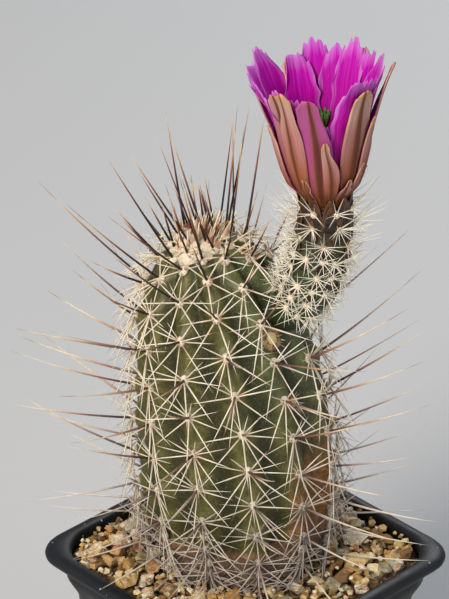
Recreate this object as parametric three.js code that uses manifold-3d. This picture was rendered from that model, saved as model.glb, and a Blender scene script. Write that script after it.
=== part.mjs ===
// A hedgehog cactus in flower: one ribbed stem with its spines, one bloom that grows from its shoulder,
// and the square plastic pot of gritty mix and gravel that it stands in.
// Millimetres, +Z up. The origin is the centre of the pot's underside, and X and Y run along the pot's sides.
import * as THREE from "three";
import { mergeVertices } from "three/addons/utils/BufferGeometryUtils.js";
import Module from "manifold-3d";

const wasm = await Module();
wasm.setup();

const { degToRad, lerp, clamp, smoothstep } = THREE.MathUtils;

// ---------------------------------------------------------------- driving dimensions
const GAP = 0.35; // clearance between two pieces that touch
const FINEST = 0.03; // the least edge and the least height of a triangle where pieces cross

const POT_HEIGHT = 80;
const RIM_HALF = 45; // half the width over the rim
const RIM_CORNER = 10;
const WALL = 1.3;
const BASE_THICK = 1.6;
const DRAIN_RADIUS = 4;
const DRAIN_OFFSET = 19;

const SOIL_TOP = 71;
const BED_TOP = 74.5; // the gravel's bedding plane, with the stones standing out of it
const STONE_TOP = 78.4;
const STONE_COUNT = 76;

const SOIL_LINE = 76; // where the stem leaves the gravel
const STEM_TOP = 182;
const RIBS = 12;
const RIB_DEPTH = 3.2;
const FIRST_RIB = 12; // degrees from the plant's face, at the soil line
const RIB_TWIST = -8; // degrees from the soil line to the top
const AREOLE_PITCH = 9; // along a rib at the soil line
const AREOLE_PITCH_MORE = 2.8; // added halfway up
const TUBERCLE = 0.8;
const STEM_OUTLINE = [
  [0, 44],
  [9, 47],
  [16, 56],
  [20.5, 67],
  [23.4, 78],
  [26.8, 91],
  [28.4, 108],
  [27.8, 126],
  [25.8, 143],
  [23.2, 158],
  [18.4, 170.5],
  [10.5, 179.2],
  [0, STEM_TOP],
]; // [radius at a rib's crest, height], from the root's tip to the growing point

const PAD_RADIUS = 1.05; // an areole, with its eight spines side by side round its middle
const PAD_HEIGHT = 0.55;
const CENTRAL_LENGTH = 35;
const CENTRAL_WAIST = 0.34; // radius of the long spine halfway
const SPINE_ROOM = 0.95; // least distance between two spines

const TUBE_PATH = [
  [7, 2, 160],
  [16.5, 6, 166],
  [22, 5.4, 181],
  [21.9, 4, 198],
]; // a cubic curve's four points, as [to the flower's side, to the face, up]
const BLOOM_TIP = [19.8, 1.6, 240];
const FUNNEL = [
  [6.6, 0],
  [9.4, 6],
  [11.6, 12],
  [13.2, 18],
  [14.8, 25],
  [16.8, 32],
  [18.8, 38],
  [20.6, 43],
]; // [radius, height above the tube], the outside of the bloom
const TEPAL_THICK = 0.7;

// ---------------------------------------------------------------- directions
const FACE_BEARING = degToRad(46);
const SIDE = new THREE.Vector3(Math.cos(FACE_BEARING), Math.sin(FACE_BEARING), 0); // towards the flower
const FACE = new THREE.Vector3(Math.sin(FACE_BEARING), -Math.cos(FACE_BEARING), 0); // the plant's face
const place = (side, face, up) =>
  new THREE.Vector3(0, 0, up).addScaledVector(SIDE, side).addScaledVector(FACE, face);

// A number from 0 to 1 at each call, always the same run for the same seed.
function seeded(seed) {
  let a = seed >>> 0;
  return () => {
    a = (a + 0x6d2b79f5) >>> 0;
    let t = Math.imul(a ^ (a >>> 15), 1 | a);
    t = (t + Math.imul(t ^ (t >>> 7), 61 | t)) ^ t;
    return ((t ^ (t >>> 14)) >>> 0) / 4294967296;
  };
}

// ---------------------------------------------------------------- solids from points and faces
function skinned(points, faces) {
  const geometry = new THREE.BufferGeometry().setFromPoints(points);
  geometry.setIndex(faces);
  return geometry;
}

function solidOf(geometry) {
  const bare = geometry.clone();
  bare.deleteAttribute("normal");
  bare.deleteAttribute("uv");
  const merged = mergeVertices(bare, 1e-4);
  const mesh = new wasm.Mesh({
    numProp: 3,
    vertProperties: merged.attributes.position.array,
    triVerts: new Uint32Array(merged.index.array),
  });
  return new wasm.Manifold(mesh);
}

function geometryOf(solid) {
  const mesh = solid.getMesh();
  const geometry = new THREE.BufferGeometry();
  geometry.setAttribute("position", new THREE.BufferAttribute(mesh.vertProperties, 3));
  geometry.setIndex(new THREE.BufferAttribute(mesh.triVerts, 1));
  const flat = geometry.toNonIndexed();
  flat.computeVertexNormals();
  return flat;
}

const join = (solids) => withoutSlivers(wasm.Manifold.union(solids));
const cut = (solid, tool) => withoutSlivers(solid.subtract(tool));

// The largest body of a solid, without the slivers that lie where its pieces crossed: the ends of a short
// edge are drawn together, and the long edge of a flat triangle is turned to its neighbour's far corner.
function withoutSlivers(solid) {
  const { vertProperties: flat, triVerts } = solid.getMesh();
  const points = Array.from({ length: flat.length / 3 }, (_, i) => new THREE.Vector3().fromArray(flat, 3 * i));
  let faces = [];
  for (let i = 0; i < triVerts.length; i += 3) faces.push([...triVerts.slice(i, i + 3)]);
  const lengthOf = (a, b) => points[a].distanceTo(points[b]);
  const heightOf = ([a, b, c]) => {
    const twiceArea = points[b].clone().sub(points[a]).cross(points[c].clone().sub(points[a])).length();
    return twiceArea / Math.max(lengthOf(a, b), lengthOf(b, c), lengthOf(c, a), 1e-12);
  };
  for (let pass = 0; pass < 40; pass++) {
    const faceOn = new Map(); // from an edge, as its two corners in order, to its face
    const around = points.map(() => new Set());
    for (const face of faces)
      for (let k = 0; k < 3; k++) {
        const [a, b] = [face[k], face[(k + 1) % 3]];
        faceOn.set(`${a} ${b}`, face);
        around[a].add(b);
        around[b].add(a);
      }
    const settled = new Set(); // corners that nothing more is done to in this pass
    const isFree = (...ids) => !ids.some((id) => settled.has(id));
    let changes = 0;
    for (const face of faces) {
      const edges = [0, 1, 2].map((k) => [face[k], face[(k + 1) % 3], face[(k + 2) % 3]]);
      edges.sort((one, other) => lengthOf(one[0], one[1]) - lengthOf(other[0], other[1]));
      const [from, to] = edges[0];
      const [a, b, c] = edges[2];
      if (lengthOf(from, to) < FINEST && isFree(from, to)) {
        const shared = [...around[from]].filter((id) => around[to].has(id));
        if (shared.length !== 2) continue;
        [from, to, ...around[from], ...around[to]].forEach((id) => settled.add(id));
        faces.forEach((one) => one.forEach((id, k) => id === from && (one[k] = to)));
        changes++;
      } else if (heightOf(face) < FINEST && isFree(a, b, c)) {
        const other = faceOn.get(`${b} ${a}`);
        const d = other.find((id) => id !== a && id !== b);
        const turned = [
          [a, d, c],
          [d, b, c],
        ];
        const better = Math.min(...turned.map(heightOf)) > Math.min(heightOf(face), heightOf(other));
        if (!isFree(d) || around[c].has(d) || !better) continue;
        [a, b, c, d].forEach((id) => settled.add(id));
        face.splice(0, 3, ...turned[0]);
        other.splice(0, 3, ...turned[1]);
        changes++;
      }
    }
    faces = faces.filter(([a, b, c]) => a !== b && b !== c && c !== a);
    if (!changes) break;
  }
  return solidOf(skinned(points, largestBody(faces).flat()));
}

// The faces that hang together with the most others.
function largestBody(faces) {
  const bodyOf = new Map();
  const rootOf = (id) => {
    while (bodyOf.get(id) !== id) id = bodyOf.get(id);
    return id;
  };
  for (const id of faces.flat()) bodyOf.set(id, id);
  for (const [a, b, c] of faces) {
    bodyOf.set(rootOf(b), rootOf(a));
    bodyOf.set(rootOf(c), rootOf(a));
  }
  const bodies = new Map();
  for (const face of faces) {
    const body = rootOf(face[0]);
    bodies.set(body, [...(bodies.get(body) ?? []), face]);
  }
  return [...bodies.values()].sort((one, other) => other.length - one.length)[0];
}

// A closed skin over rings of equal length, anticlockwise seen from the last ring.
// A ring of one point is a pole.
function loft(rings) {
  const sides = Math.max(...rings.map((ring) => ring.length));
  const starts = [];
  rings.reduce((at, ring) => (starts.push(at), at + ring.length), 0);
  const vertex = (ring, i) => starts[ring] + (rings[ring].length === 1 ? 0 : i % sides);
  const faces = [];
  for (let j = 0; j + 1 < rings.length; j++)
    for (let i = 0; i < sides; i++) {
      const [a, b, c, d] = [vertex(j, i), vertex(j, i + 1), vertex(j + 1, i + 1), vertex(j + 1, i)];
      if (a !== b) faces.push(a, b, c);
      if (c !== d) faces.push(a, c, d);
    }
  const last = rings.length - 1;
  for (let i = 1; i + 1 < rings[0].length; i++) faces.push(vertex(0, 0), vertex(0, i + 1), vertex(0, i));
  for (let i = 1; i + 1 < rings[last].length; i++)
    faces.push(vertex(last, 0), vertex(last, i), vertex(last, i + 1));
  return skinned(rings.flat(), faces);
}

// Points round a middle, square to a direction.
function ringAcross(middle, along, radius, sides) {
  const across = new THREE.Vector3(0.31, 0.52, 0.79).cross(along).normalize();
  const other = along.clone().cross(across);
  return Array.from({ length: sides }, (_, i) => {
    const turn = (2 * Math.PI * i) / sides;
    return middle
      .clone()
      .addScaledVector(across, radius * Math.cos(turn))
      .addScaledVector(other, radius * Math.sin(turn));
  });
}

// A thorn or a thread along a line of points, sharp at its end.
function needle(points, radii, sides = 3) {
  const rings = radii.map((radius, j) => {
    const along = points[j + 1].clone().sub(points[j]).normalize();
    return ringAcross(points[j], along, radius, sides);
  });
  return loft([...rings, [points[points.length - 1]]]);
}

// ---------------------------------------------------------------- the pot
// A square with round corners at one height, anticlockwise seen from above.
function roundedSquare(half, corner, z, steps = 4) {
  const ring = [];
  for (const [quarter, cx, cy] of [
    [0, 1, 1],
    [1, -1, 1],
    [2, -1, -1],
    [3, 1, -1],
  ])
    for (let i = 0; i <= steps; i++) {
      const turn = (quarter + i / steps) * (Math.PI / 2);
      const x = cx * (half - corner) + corner * Math.cos(turn);
      const y = cy * (half - corner) + corner * Math.sin(turn);
      ring.push(new THREE.Vector3(x, y, z));
    }
  return ring;
}

// [half width, corner radius, height] up the tapering wall, over the shoulder and up the collar.
const POT_OUTSIDE = [
  [33, 9, 0],
  [38.3, 10, 64.5],
  [40.8, 10.5, 70.4],
  [40.8, 10.5, 76.6],
];
// The same on round the broad rolled lip.
const LIP = [
  [44.2, 10.3, 76.6],
  [RIM_HALF, RIM_CORNER, 77.9],
  [43.6, 10.5, 79.6],
  [41.8, 11.4, POT_HEIGHT],
  [40.2, 12.4, 79.2],
];
const WALL_HEIGHTS = POT_OUTSIDE.map(([, , height]) => height);

// The wall's inside at a height, with room left beside it.
function insideRing(z, room = 0) {
  const above = WALL_HEIGHTS.findIndex((height, i) => i > 0 && height >= z);
  const [low, high] = POT_OUTSIDE.slice(above - 1, above + 1);
  const t = clamp((z - low[2]) / (high[2] - low[2]), 0, 1);
  const half = lerp(low[0], high[0], t) - WALL - room;
  return roundedSquare(half, lerp(low[1], high[1], t) - WALL / 2, z);
}

function makePot() {
  const outside = [...POT_OUTSIDE, ...LIP].map((row) => roundedSquare(...row));
  const inside = [BASE_THICK, ...WALL_HEIGHTS.slice(1)].reverse().map((z) => insideRing(z));
  let pot = solidOf(loft([...outside, ...inside]));
  for (const sx of [-1, 1])
    for (const sy of [-1, 1]) {
      const drain = new THREE.CylinderGeometry(DRAIN_RADIUS, DRAIN_RADIUS, 4 * BASE_THICK, 12);
      drain.rotateX(Math.PI / 2).translate(sx * DRAIN_OFFSET, sy * DRAIN_OFFSET, BASE_THICK / 2);
      pot = cut(pot, solidOf(drain));
    }
  return pot;
}

// ---------------------------------------------------------------- the stem's form
const outline = new THREE.SplineCurve(STEM_OUTLINE.map(([r, z]) => new THREE.Vector2(r, z)));
const OUTLINE_LENGTH = outline.getLength();
const outlineAt = (s) => outline.getPointAt(clamp(s / OUTLINE_LENGTH, 0, 1));
let soilLineAt = 0; // how far along the outline the soil line is
while (outlineAt(soilLineAt).y < SOIL_LINE) soilLineAt += 0.25;

const upStem = (z) => clamp((z - SOIL_LINE) / (STEM_TOP - SOIL_LINE), 0, 1);

// The stem leans away from its flower: a point of the straight stem goes to the leaning one here.
function lean(side, face, z) {
  const t = upStem(z);
  const tilt = Math.atan((2.5 + 23.75 * t ** 1.5) / (STEM_TOP - SOIL_LINE));
  const shift = -1.3 - 2.5 * t - 9.5 * t ** 2.5;
  return place(shift + side * Math.cos(tilt), face - 4, z + side * Math.sin(tilt));
}

const ribAngle = (rib, z) => degToRad(FIRST_RIB + RIB_TWIST * upStem(z) + (360 / RIBS) * rib);

// Half steps from areole to areole: a rib has one at every second step, its neighbours at the others.
const areoleSteps = [soilLineAt + 5];
for (;;) {
  const s = areoleSteps[areoleSteps.length - 1];
  const up = (s - soilLineAt) / (OUTLINE_LENGTH - soilLineAt);
  const pitch = AREOLE_PITCH + AREOLE_PITCH_MORE * Math.sin(Math.PI * up);
  const next = s + (pitch / 2) * clamp((OUTLINE_LENGTH - s) / 20, 0.36, 1);
  if (next > OUTLINE_LENGTH - 3) break;
  areoleSteps.push(next);
}

// A point of the skin. phase goes from 0 on a rib's crest to 1 on the next; bulge is the tubercle's height.
function skin(rib, phase, s, bulge = 0, outward = 0) {
  const { x: radius, y: z } = outlineAt(s);
  const furrow = Math.abs(Math.sin(Math.PI * phase)) ** 2.4;
  const depth = RIB_DEPTH * smoothstep(radius, 1, 24) * smoothstep(z, SOIL_LINE - 8, SOIL_LINE + 22);
  const r = radius - depth * furrow + bulge * (1 - furrow) + outward;
  const angle = ribAngle(rib + phase, z);
  return lean(r * Math.sin(angle), r * Math.cos(angle), z);
}

// An areole's place on a rib, and the ways out of the skin, up the rib and to its side.
function areoleAt(rib, s) {
  const at = skin(rib, 0, s, TUBERCLE);
  const upRib = skin(rib, 0, s + 0.5).sub(skin(rib, 0, s - 0.5)).normalize();
  const aside = skin(rib, 0.02, s).sub(skin(rib, -0.02, s)).normalize();
  const out = upRib.clone().cross(aside).normalize().negate();
  return { at, upRib, aside, out, middle: at.clone().addScaledVector(out, PAD_HEIGHT) };
}

// A plain round hole for the stem, in the mix and the gravel.
function stemHole() {
  const rings = [[lean(0, 0, STEM_OUTLINE[0][1] - 1.5)]];
  for (const s of [0.25, 0.5, 0.75, 1, 1.3].map((part) => part * soilLineAt)) {
    const { x: radius, y: z } = outlineAt(s);
    const wide = radius + TUBERCLE + 2 * GAP;
    const turns = Array.from({ length: 20 }, (_, i) => (2 * Math.PI * i) / 20);
    rings.push(turns.map((turn) => lean(wide * Math.cos(turn), -wide * Math.sin(turn), z)));
  }
  return solidOf(loft(rings));
}

// ---------------------------------------------------------------- the bloom's form
const tubePath = new THREE.CubicBezierCurve3(...TUBE_PATH.map((row) => place(...row)));
const tubeRadius = (u) => 5.2 + 1.4 * u + 2.1 * Math.sin(Math.PI * u);
const bloomBase = tubePath.getPoint(1);
const bloomAxis = place(...BLOOM_TIP).sub(bloomBase).normalize();
const bloomSide = SIDE.clone().addScaledVector(bloomAxis, -SIDE.dot(bloomAxis)).normalize();
const bloomFace = bloomSide.clone().cross(bloomAxis).normalize();

// The bloom's radius at a height above its tube.
function funnelRadius(height) {
  for (let i = 1; i < FUNNEL.length; i++) {
    const [[r0, h0], [r1, h1]] = [FUNNEL[i - 1], FUNNEL[i]];
    if (height <= h1) return lerp(r0, r1, (height - h0) / (h1 - h0));
  }
  return FUNNEL[FUNNEL.length - 1][0];
}

// A point of the bloom: turn runs from its face round to its side.
const inBloom = (turn, radius, height) =>
  bloomBase
    .clone()
    .addScaledVector(bloomAxis, height)
    .addScaledVector(bloomSide, radius * Math.sin(turn))
    .addScaledVector(bloomFace, radius * Math.cos(turn));

function tubePoint(u, turn, more = 0) {
  const along = tubePath.getTangent(u);
  const side = SIDE.clone().addScaledVector(along, -SIDE.dot(along)).normalize();
  const face = side.clone().cross(along);
  const r = tubeRadius(u) + more;
  return tubePath
    .getPoint(u)
    .addScaledVector(side, r * Math.sin(turn))
    .addScaledVector(face, r * Math.cos(turn));
}

const tubeStations = Array.from({ length: 15 }, (_, i) => [tubePath.getPoint(i / 14), tubeRadius(i / 14)]);

// True where a point is in or near the bloom or its tube, where no spine of the stem goes.
function nearBloom(point, room) {
  const above = point.clone().sub(bloomBase).dot(bloomAxis);
  if (above > 0) {
    const foot = bloomBase.clone().addScaledVector(bloomAxis, above);
    return above < 46 && point.distanceTo(foot) < funnelRadius(above) + room;
  }
  return tubeStations.some(([station, radius]) => point.distanceTo(station) < radius + room);
}

// ---------------------------------------------------------------- spines
// The shortest way between the straight stretches a-b and c-d.
function apart(a, b, c, d) {
  const u = b.clone().sub(a);
  const v = d.clone().sub(c);
  const w = a.clone().sub(c);
  const [uu, uv, vv, uw, vw] = [u.dot(u), u.dot(v), v.dot(v), u.dot(w), v.dot(w)];
  const flat = uu * vv - uv * uv;
  const s = flat < 1e-9 ? 0 : clamp((uv * vw - vv * uw) / flat, 0, 1);
  const t = clamp((uv * s + vw) / vv, 0, 1);
  const back = clamp((uv * t - uw) / uu, 0, 1);
  return a.clone().addScaledVector(u, back).distanceTo(c.clone().addScaledVector(v, t));
}

// A spine is a line of points from its root to its tip.
function clears(spine, others, room) {
  for (const other of others) {
    const reach = spine.span + other.span + room;
    if (spine.line[0].distanceTo(other.line[0]) > reach) continue;
    for (let i = 0; i + 1 < spine.line.length; i++)
      for (let j = 0; j + 1 < other.line.length; j++)
        if (apart(spine.line[i], spine.line[i + 1], other.line[j], other.line[j + 1]) < room) return false;
  }
  return true;
}

// A spine in slot 0 to 7 of its areole: slot 0 has the long one that stands out, the others lie round it.
// The numbers are each slot's length.
const SPINE_SLOTS = [CENTRAL_LENGTH, 7, 10, 11.5, 12.5, 11.5, 10, 7];

function spineOf({ upRib, aside, out, middle }, slot, age, random) {
  const swing = () => 2 * random() - 1;
  const central = slot === 0;
  const about = central ? 0 : degToRad(45 * slot + 7 * swing());
  const centralLift = lerp(lerp(76, 83, age.low), 84, age.young) + 13 * swing();
  const lift = degToRad(central ? centralLift : lerp(17, 58, age.young) + 7 * swing());
  const turn = central ? degToRad(12 * swing()) : 0;
  const share = central ? 0.17 * swing() : 0.14 * swing();
  const fullGrown = smoothstep(share, 0.02, 0.06); // 1 for about a third of the long ones
  const grown = lerp(1, central ? lerp(0.5, 1, fullGrown) : 0.5, age.young) * lerp(1, 0.84, age.low);
  const length = SPINE_SLOTS[slot] * (1 + share) * grown;
  const way = upRib
    .clone()
    .multiplyScalar(Math.cos(about) * Math.cos(lift))
    .addScaledVector(aside, Math.sin(about) * Math.cos(lift) + Math.sin(turn))
    .addScaledVector(out, Math.sin(lift))
    .normalize();
  const root = central
    ? middle.clone().addScaledVector(out, -0.2)
    : middle.clone().addScaledVector(way, 0.5 * PAD_RADIUS);
  const tip = root.clone().addScaledVector(way, length);
  if (central) tip.z += length * lerp(0.09, 0.02, age.young) * (0.6 + 0.8 * random());
  const lowest = STONE_TOP + 2.4;
  if (tip.z < lowest && central) tip.z = lowest + 1.5 * random();
  else if (tip.z < lowest) tip.lerp(root, clamp((lowest - tip.z) / (root.z - tip.z), 0, 1));
  const half = root.clone().addScaledVector(way, 0.5 * length);
  half.z = Math.max(half.z, lerp(root.z, tip.z, 0.3));
  const line = central ? [root, half, tip] : [root, tip];
  return { slot, line, length: root.distanceTo(tip), span: length * 1.2 };
}

// Places along a line from just past its root to its tip.
function stationsOn(line) {
  const stations = [];
  for (let i = 0; i + 1 < line.length; i++)
    for (const t of [0.15, 0.3, 0.45, 0.6, 0.8, 1]) stations.push(line[i].clone().lerp(line[i + 1], t));
  return stations;
}

// All the stem's areoles, each with the spines that found room.
function growSpines() {
  const grown = [];
  const areoles = [];
  areoleSteps.forEach((s, step) => {
    for (let rib = 0; rib < RIBS; rib++) {
      if ((step + rib) % 2) continue;
      const frame = areoleAt(rib, s);
      const young = 1 - smoothstep(OUTLINE_LENGTH - s, 3, 20);
      const age = { young, low: 1 - smoothstep(s - soilLineAt, 0, 70) };
      const own = [];
      for (let slot = 0; slot < 8; slot++)
        for (let attempt = 0; attempt < 4; attempt++) {
          const random = seeded(10000 + 1000 * rib + 32 * step + 4 * slot + attempt);
          const spine = spineOf(frame, slot, age, random);
          const inBloomsWay = stationsOn(spine.line).some((point) => nearBloom(point, 1.5));
          const tooLow = spine.line[0].z < STONE_TOP + 1 || spine.length < 0.4 * SPINE_SLOTS[slot];
          if (inBloomsWay || tooLow || !clears(spine, grown, SPINE_ROOM)) continue;
          own.push(spine);
          break;
        }
      grown.push(...own);
      areoles.push({ rib, step, frame, spines: own });
    }
  });
  return areoles;
}

// A closed skin over a grid of points, level by level up a stem, with a ring of eight points round each
// areole's middle. The eight triangles between them are the roots of its spines.
function spinySkin(grid, bottom, top, areoles) {
  const points = [bottom, top, ...grid.flat()];
  const faces = [];
  const [columns, last] = [grid[0].length, grid.length - 1];
  const at = (level, column) => (level > last ? 1 : 2 + level * columns + ((column + columns) % columns));
  const ringed = new Set(areoles.map(({ level, column }) => at(level, column)));
  const add = (point) => points.push(point) - 1;
  const cover = (...ids) => ids.some((id) => ringed.has(id)) || faces.push(...ids);
  for (let j = 0; j < last; j++)
    for (let i = 0; i < columns; i++) {
      const [a, b, c, d] = [at(j, i), at(j, i + 1), at(j + 1, i + 1), at(j + 1, i)];
      if (ringed.has(b) || ringed.has(d)) cover(a, b, d), cover(b, c, d);
      else cover(a, b, c), cover(a, c, d);
    }
  for (let i = 0; i < columns; i++) {
    cover(at(0, i + 1), at(0, i), 0);
    cover(at(last, i), at(last, i + 1), 1);
  }
  for (const { level, column, frame, radius, spines } of areoles) {
    const middle = at(level, column);
    const around = [
      [1, 0],
      [1, 1],
      [0, 1],
      [-1, 1],
      [-1, 0],
      [-1, -1],
      [0, -1],
      [1, -1],
    ].map(([up, aside]) => at(level + up, column + aside));
    const pad = around.map((_, k) => {
      const about = degToRad(22.5 + 45 * k);
      const point = frame.at.clone().addScaledVector(frame.upRib, radius * Math.cos(about));
      return add(point.addScaledVector(frame.aside, radius * Math.sin(about)));
    });
    for (let k = 0; k < 8; k++) {
      const [before, after] = [(k + 7) % 8, (k + 1) % 8];
      if (around[k] !== around[after]) faces.push(around[after], around[k], pad[k]);
      faces.push(pad[k], around[k], pad[before]);
      const root = [middle, pad[k], pad[before]];
      const spine = spines.find(({ slot }) => slot === k);
      if (spine) growFrom(root, spine.line, points, faces);
      else faces.push(...root);
    }
  }
  return solidOf(skinned(points, faces));
}

// A three-sided spine on a triangle of the skin, with a waist halfway where its line has three points.
function growFrom(root, line, points, faces) {
  let ring = root;
  if (line.length === 3) {
    const along = line[2].clone().sub(line[0]).normalize();
    const centre = root.reduce((sum, id) => sum.addScaledVector(points[id], 1 / 3), new THREE.Vector3());
    ring = root.map((id) => {
      const across = points[id].clone().sub(centre);
      across.addScaledVector(along, -across.dot(along)).setLength(CENTRAL_WAIST);
      return points.push(line[1].clone().add(across)) - 1;
    });
    [0, 1, 2].forEach((m) => {
      const n = (m + 1) % 3;
      faces.push(root[m], root[n], ring[n], root[m], ring[n], ring[m]);
    });
  }
  const tip = points.push(line[line.length - 1].clone()) - 1;
  [0, 1, 2].forEach((m) => faces.push(ring[m], ring[(m + 1) % 3], tip));
}

function makeStem(areoles) {
  const buried = [0.25, 0.5, 0.75, 1].map((part) => part * soilLineAt);
  const levels = [...buried, ...areoleSteps];
  const bulgeAt = (level, column) => {
    if (column % 4 || level < buried.length) return 0;
    return (level - buried.length + column / 4) % 2 ? -0.2 : TUBERCLE + PAD_HEIGHT;
  };
  const grid = levels.map((s, level) =>
    Array.from({ length: RIBS * 4 }, (_, column) =>
      skin(Math.floor(column / 4), (column % 4) / 4, s, bulgeAt(level, column)),
    ),
  );
  const onGrid = areoles.map(({ rib, step, frame, spines }) => {
    return { level: step + buried.length, column: 4 * rib, frame, radius: PAD_RADIUS, spines };
  });
  return spinySkin(grid, lean(0, 0, STEM_OUTLINE[0][1]), lean(0, 0, STEM_TOP), onGrid);
}

// ---------------------------------------------------------------- the bloom's tube
const TUBE_LEVELS = 10;
const TUBE_COLUMNS = 24;
const TUBE_PAD = 0.75;
const TUBE_SPINE = 6; // and twice as long just under the bloom
const FIRST_SPINY_LEVEL = 3;

// The upper stem a little larger, which the tube and its spines stay out of.
function stemGrown() {
  const rings = [[lean(0, 0, 100)]];
  const bulge = TUBERCLE + PAD_HEIGHT;
  for (const s of areoleSteps.filter((at) => outlineAt(at).y > 120)) {
    const around = Array.from({ length: RIBS * 4 }, (_, i) => [Math.floor(i / 4), (i % 4) / 4]);
    rings.push(around.map(([rib, phase]) => skin(rib, phase, s, bulge, GAP)));
  }
  rings.push([lean(0, 0, STEM_TOP + bulge)]);
  return solidOf(loft(rings));
}

function makeTube(stemAreoles) {
  const stemShape = stemGrown();
  const stemSpines = stemAreoles.flatMap(({ spines }) => spines);
  const grid = [];
  const areoles = [];
  for (let level = 0; level <= TUBE_LEVELS; level++) {
    const u = level / TUBE_LEVELS;
    const turns = Array.from({ length: TUBE_COLUMNS }, (_, i) => (2 * Math.PI * i) / TUBE_COLUMNS);
    grid.push(turns.map((turn) => tubePoint(u, turn)));
    if (level < FIRST_SPINY_LEVEL || level === TUBE_LEVELS) continue;
    turns.forEach((turn, column) => {
      if (column % 2 || (level + column / 2) % 2) return;
      const upRib = tubePath.getTangent(u);
      const out = tubePoint(u, turn, 1).sub(tubePoint(u, turn)).normalize();
      const aside = upRib.clone().cross(out);
      const frame = { at: tubePoint(u, turn, -0.1), upRib, aside, out };
      const spines = [];
      for (const slot of [0, 1, 2, 3, 5, 6, 7]) {
        const random = seeded(50000 + 1000 * level + 32 * column + slot);
        const about = degToRad(45 * slot + 10 * (2 * random() - 1));
        const upper = smoothstep(level, 6, TUBE_LEVELS - 1) * smoothstep(Math.cos(about), -0.2, 0.6);
        const lift = degToRad(40 + 8 * (2 * random() - 1) + 10 * upper);
        const way = upRib.clone().multiplyScalar(Math.cos(about) * Math.cos(lift));
        way.addScaledVector(aside, Math.sin(about) * Math.cos(lift)).addScaledVector(out, Math.sin(lift));
        const root = frame.at.clone().addScaledVector(way, 0.4 * TUBE_PAD);
        const length = TUBE_SPINE * (1 + upper) * (1 + 0.15 * (2 * random() - 1));
        const tip = root.clone().addScaledVector(way, length);
        const spine = { slot, line: [root, tip], span: length + 2 };
        const touchesStem = solidOf(needle([root, tip], [0.6])).intersect(stemShape).volume() > 1e-6;
        const own = areoles.flatMap((areole) => areole.spines);
        if (!touchesStem && clears(spine, stemSpines, 1.3) && clears(spine, own, 0.8)) spines.push(spine);
      }
      areoles.push({ level, column, frame, radius: TUBE_PAD, spines });
    });
  }
  for (const { level, column, frame } of areoles) grid[level][column].addScaledVector(frame.out, 0.4);
  const tube = spinySkin(grid, tubePath.getPoint(0), tubePath.getPoint(1), areoles);
  return cut(tube, stemShape);
}

// ---------------------------------------------------------------- tepals
// A thin blade between a grid of points on its outer face and one on its inner face, split alike on both.
function blade(outer, inner) {
  const [rows, columns] = [outer.length, outer[0].length];
  const at = (side, j, i) => (side * rows + j) * columns + i;
  const faces = [];
  for (let j = 0; j + 1 < rows; j++)
    for (let i = 0; i + 1 < columns; i++) {
      const [a, b, c, d] = [at(0, j, i), at(0, j, i + 1), at(0, j + 1, i + 1), at(0, j + 1, i)];
      const [e, f, g, h] = [at(1, j, i), at(1, j, i + 1), at(1, j + 1, i + 1), at(1, j + 1, i)];
      faces.push(a, b, c, a, c, d, e, g, f, e, h, g);
    }
  const border = [];
  for (let i = 0; i < columns; i++) border.push([0, i]);
  for (let j = 1; j < rows; j++) border.push([j, columns - 1]);
  for (let i = columns - 2; i >= 0; i--) border.push([rows - 1, i]);
  for (let j = rows - 2; j > 0; j--) border.push([j, 0]);
  border.forEach(([j, i], k) => {
    const [nextJ, nextI] = border[(k + 1) % border.length];
    const [a, b, c, d] = [at(0, j, i), at(0, nextJ, nextI), at(1, nextJ, nextI), at(1, j, i)];
    faces.push(b, a, d, b, d, c);
  });
  return skinned([...outer.flat(), ...inner.flat()], faces);
}

// How much lower the corners of a tepal's tip are than its middle, as a share of its height. The row
// below, at 0.88 of the height, stays under them.
const TIP_DROP = 0.06;

// A tepal starts in its whorl's ring, lies in the funnel at its layer's depth, and ends in a point.
function tepal({ angle, reach, half, depth, ring, flare, point }) {
  const [outer, inner] = [[], []];
  for (const t of [0, 0.2, 0.42, 0.68, 0.88, 1]) {
    const height = lerp(0.8, reach, t);
    const radius = lerp(ring, funnelRadius(height) + depth, smoothstep(height, 0, 8)) + flare * t * t;
    const width = half * lerp(0.15, 1, smoothstep(t, 0, 0.5)) * lerp(1, 1 - point, smoothstep(t, 0.6, 1));
    const place3 = (v, side) => {
      const lower = t === 1 ? TIP_DROP * reach * v * v : 0;
      return inBloom(angle + (v * width) / radius, radius + side * (TEPAL_THICK / 2), height - lower);
    };
    outer.push([-1, 0, 1].map((v) => place3(v, 1)));
    inner.push([-1, 0, 1].map((v) => place3(v, -1)));
  }
  return blade(outer, inner);
}

// The low ring that a whorl's pieces grow from.
function whorlRing(radius, thick, height) {
  const section = [
    [radius - thick / 2, GAP],
    [radius + thick / 2, GAP],
    [radius + thick / 2, height],
    [radius - thick / 2, height],
  ];
  const sides = 15;
  const points = [];
  const faces = [];
  for (let i = 0; i < sides; i++)
    for (const [r, h] of section) points.push(inBloom((2 * Math.PI * i) / sides, r, h));
  for (let i = 0; i < sides; i++)
    for (let k = 0; k < 4; k++) {
      const [here, next] = [4 * i, 4 * ((i + 1) % sides)];
      const [a, b, c, d] = [here + k, here + ((k + 1) % 4), next + ((k + 1) % 4), next + k];
      faces.push(a, c, b, a, d, c);
    }
  return skinned(points, faces);
}

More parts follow.
